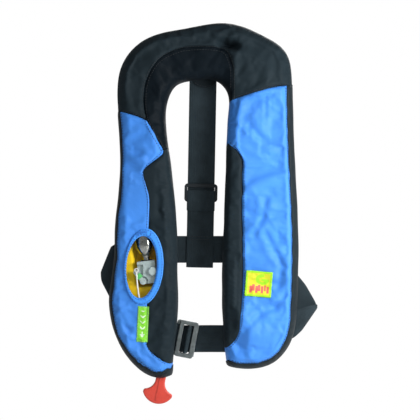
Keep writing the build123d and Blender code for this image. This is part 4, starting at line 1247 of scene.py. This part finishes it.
def hardware_gap(x, z):
    """Distance on XZ from the inflator, its flange and the gas cylinder."""
    d = Vector((x, z)) - INFLATOR_AT
    u = d.x * cos(INFLATOR_TURN) + d.y * sin(INFLATOR_TURN)
    v = -d.x * sin(INFLATOR_TURN) + d.y * cos(INFLATOR_TURN)
    body = Vector((max(abs(u) - INFLATOR_HALF[0], 0), max(abs(v) - INFLATOR_HALF[1], 0))).length
    tank = Vector((max(abs(u - 1 * MM) - TANK_HALF_W, 0), max(-v, v - TANK_LENGTH, 0))).length
    flange = max(Vector((u - 8 * MM, v - 0.7 * MM)).length - FLANGE_R, 0)
    return min(body, tank, flange)


def make_bladder():
    """The folded bladder: a flat pack that bulges up round the inflator behind the window."""
    low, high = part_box("bladder")
    back, front = -high.y, -low.y
    grid, normal = inward_directions()
    rim = [Vector(point + inward * 5 * MM) for point, inward in zip(grid, normal)]
    points = list(rim)
    z = low.z
    row = 0
    while z < high.z:
        fine = -0.35 < z < -0.13
        step = 2.6 * MM if fine else 6 * MM
        x = low.x + (row % 2) * step / 2
        while x < high.x:
            if x < -0.03 or row % 2 == 0:
                points.append(Vector((x, z)))
            x += step if x < -0.03 else 6 * MM
        z += step
        row += 1
    body = points[len(rim):]
    keep = inside(body, rim) & (distances(body, rim, closed=True) > 2 * MM)
    points = rim + [v for v, ok in zip(body, keep) if ok]
    flat, _, faces, _, _, _ = delaunay_2d_cdt(points, [], [list(range(len(rim)))], 1, 1e-6)
    edge = distances(flat, rim, closed=True)
    near_window = distances(flat, BEZEL_LINE, closed=True) * np.where(inside(flat, BEZEL_LINE), -1, 1)
    verts, faces_out, behind = [], [], {}
    for index, point in enumerate(flat):
        roll = math.sqrt(max(0, 1 - (1 - min(edge[index] / (9 * MM), 1)) ** 2))
        bulge = ease(hardware_gap(point.x, point.y), 0.3 * MM, 4.5 * MM)
        bulge *= 1 - ease(near_window[index], 2 * MM, 26 * MM)
        bulge *= ease(edge[index], 0, 10 * MM)
        fold = noise.noise(Vector((point.x * 55 + point.y * 20, point.y * 26, 2.0))) * 0.9
        fold += noise.noise(Vector((point.x * 120, point.y * 90, 5.0))) * 0.4
        y = front - 1.6 * MM + 18.2 * MM * bulge + fold * MM * (0.35 + bulge)
        verts.append(Vector((point.x, -(back + (y - back) * roll), point.y)))
    for index, point in enumerate(flat):
        if edge[index] > 1e-6:
            behind[index] = len(verts)
            verts.append(Vector((point.x, -back, point.y)))
    for face in faces:
        faces_out.append(tuple(face))
        faces_out.append(tuple(behind.get(index, index) for index in reversed(face)))
    piece = make_piece("folded_bladder", verts, faces_out, YELLOW, replaces=("bladder",))


# ---------------------------------------------------------------- sewn labels
def patch(name, at, tilt, size, looks, choose, node, step=0.9 * MM):
    """A sewn label that follows the cover. choose(u, v) picks one of the materials in looks."""
    turned = radians(tilt)
    across, up = max(4, round(size[0] / step)), max(4, round(size[1] / step))
    verts, faces, picks = [], [], []
    for j in range(up + 1):
        for i in range(across + 1):
            u, v = (i / across - 0.5) * size[0], (j / up - 0.5) * size[1]
            x = at[0] + u * cos(turned) - v * sin(turned)
            z = at[1] + u * sin(turned) + v * cos(turned)
            rim = min(size[0] / 2 - abs(u), size[1] / 2 - abs(v))
            verts.append(cover_face(x, z, (0.35 + 0.45 * ease(rim, 0, 1.2 * MM)) * MM))
    for j in range(up):
        for i in range(across):
            a = j * (across + 1) + i
            faces.append((a, a + 1, a + across + 2, a + across + 1))
            u, v = ((i + 0.5) / across - 0.5) * size[0], ((j + 0.5) / up - 0.5) * size[1]
            picks.append(choose(u, v))
    piece = make_piece(name, verts, faces, looks[0], replaces=(node,))
    for look in looks[1:]:
        piece.data.materials.append(look)
    for polygon, pick in zip(piece.data.polygons, picks):
        polygon.material_index = pick
    shell = piece.modifiers.new("label_thickness", "SOLIDIFY")
    shell.thickness = 0.8 * MM
    shell.offset = -1
    corners = [(-1, -1), (1, -1), (1, 1), (-1, 1), (-1, -1)]
    row = []
    for (a0, b0), (a1, b1) in zip(corners, corners[1:]):
        for k in range(20):
            u = (a0 + (a1 - a0) * k / 20) * (size[0] / 2 - 1.3 * MM)
            v = (b0 + (b1 - b0) * k / 20) * (size[1] / 2 - 1.3 * MM)
            x = at[0] + u * cos(turned) - v * sin(turned)
            z = at[1] + u * sin(turned) + v * cos(turned)
            row.append((cover_face(x, z, 0.95 * MM), Vector((0, -1, 0))))
    stitches(name + "_stitching", [row], THREAD_PALE, length=1.8 * MM, gap=0.9 * MM, thick=0.28 * MM)


def pull_label_look(u, v):
    """Thin pale border, then downward chevrons and an arrow on green."""
    if abs(u) > 7.7 * MM or abs(v) > 25.7 * MM:
        return 1
    if -8 * MM < v < 20 * MM:
        folded = (v - abs(u) * 0.9 + 8 * MM) % (8.4 * MM)
        return 1 if folded < 2.2 * MM and abs(u) < 3.8 * MM else 0
    if -19 * MM < v < -11 * MM:
        return 1 if abs(u) < 1.1 * MM or (v < -14 * MM and abs(u) < (v + 19 * MM) * 0.9) else 0
    return 0


def badge_look(u, v):
    """Lime border, yellow field, a coral band cut into blocks and a lime hook above it."""
    if abs(u) > 16.6 * MM or abs(v) > 15.8 * MM:
        return 0
    if -12.5 * MM < v < -1.0 * MM and -13.5 * MM < u < 15 * MM:
        cell = (u + 13.5 * MM) // (4.1 * MM)
        gap = (u + 13.5 * MM) % (4.1 * MM) < 0.7 * MM
        notch = (v < -10.2 * MM) if cell % 2 else (v > -3.0 * MM)
        return 1 if gap or notch else 2
    reach = math.hypot((u - 5 * MM) * 0.8, v - 6.8 * MM)
    if 3.6 * MM < reach < 7.8 * MM and not (u > 7 * MM and v > 8 * MM):
        return 0
    return 0 if abs(v - 6.2 * MM) < 1.2 * MM and 4 * MM < u < 12 * MM else 1


def make_pull_cord():
    curve = bpy.data.curves.new("lanyard", "CURVE")
    curve.dimensions = "3D"
    spline = curve.splines.new("NURBS")
    spline.points.add(len(CORD_POINTS) - 1)
    for point, place in zip(spline.points, CORD_POINTS):
        point.co = (*place, 1)
    spline.order_u = 3
    spline.use_endpoint_u = True
    curve.resolution_u = 16
    curve.bevel_depth = 1.2 * MM
    curve.bevel_resolution = 4
    lanyard = bpy.data.objects.new("lanyard", curve)
    bpy.context.collection.objects.link(lanyard)
    curve.materials.append(CORD_WHITE)
    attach(lanyard, "handle")
    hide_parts("pull_cord")
    bpy.ops.mesh.primitive_torus_add(
        major_radius=2.5 * MM,
        minor_radius=0.8 * MM,
        location=(CORD_POINTS[0][0], CORD_POINTS[0][1], CORD_POINTS[0][2] + 2.6 * MM),
        rotation=(pi / 2, 0, 0),
    )
    eye = bpy.context.object
    eye.name = "lanyard_eye"
    for polygon in eye.data.polygons:
        polygon.use_smooth = True
    eye.data.materials.append(CORD_WHITE)
    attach(eye, "handle")


# ---------------------------------------------------------------- pieces
cover_stitching()
make_belt()
make_keeper("right_keeper_tape", "right_belt_keeper", (82, -377.5), 6)
make_keeper("left_keeper_tape", "left_belt_keeper", (-108, -337), 47)
make_strap_tab()
soften("closure_loop_strip", "closure_loop_tape")
soften("closure_hook_strip", "closure_hook_tape")
make_back_strap()
make_bezel()
make_lens()
make_bladder()
greens = (LABEL_GREEN, LABEL_WHITE)
label_size = (16 * MM, 52 * MM)
patch("pull_patch", (-0.0898, -0.356), -2.8, label_size, greens, pull_label_look, "pull_label")
colours = (BADGE_LIME, BADGE_YELLOW, BADGE_CORAL)
badge_size = (38 * MM, 36.5 * MM)
patch("badge_patch", (0.0773, -0.298), -4.5, badge_size, colours, badge_look, "badge_label")
make_pull_cord()

# ---------------------------------------------------------------- looks of the CAD pieces that stay
KEPT = {
    "inflator_body": GREY,
    "cylinder_washer": RUBBER,
    "manifold_stem": BRASS,
    "manifold_gasket": RUBBER,
    "cap_nut": GREY,
    "lever_pin": GREY,
    "co2_cylinder": CHROME,
    "firing_pin": STEEL,
    "firing_lever": GREY,
    "indicator_clip": GREEN,
    "pull_handle": RED,
    "oral_tube": BLACK_PLASTIC,
    "oral_valve": PALE,
    "dust_cap": RUBBER,
    "whistle": ORANGE,
    "strap_slider": BLACK_PLASTIC,
    "buckle_frame": STEEL,
    "buckle_toggle": STEEL,
}
for node_name, look in KEPT.items():
    kept = NODES[node_name]
    kept.data.materials.clear()
    kept.data.materials.append(look)
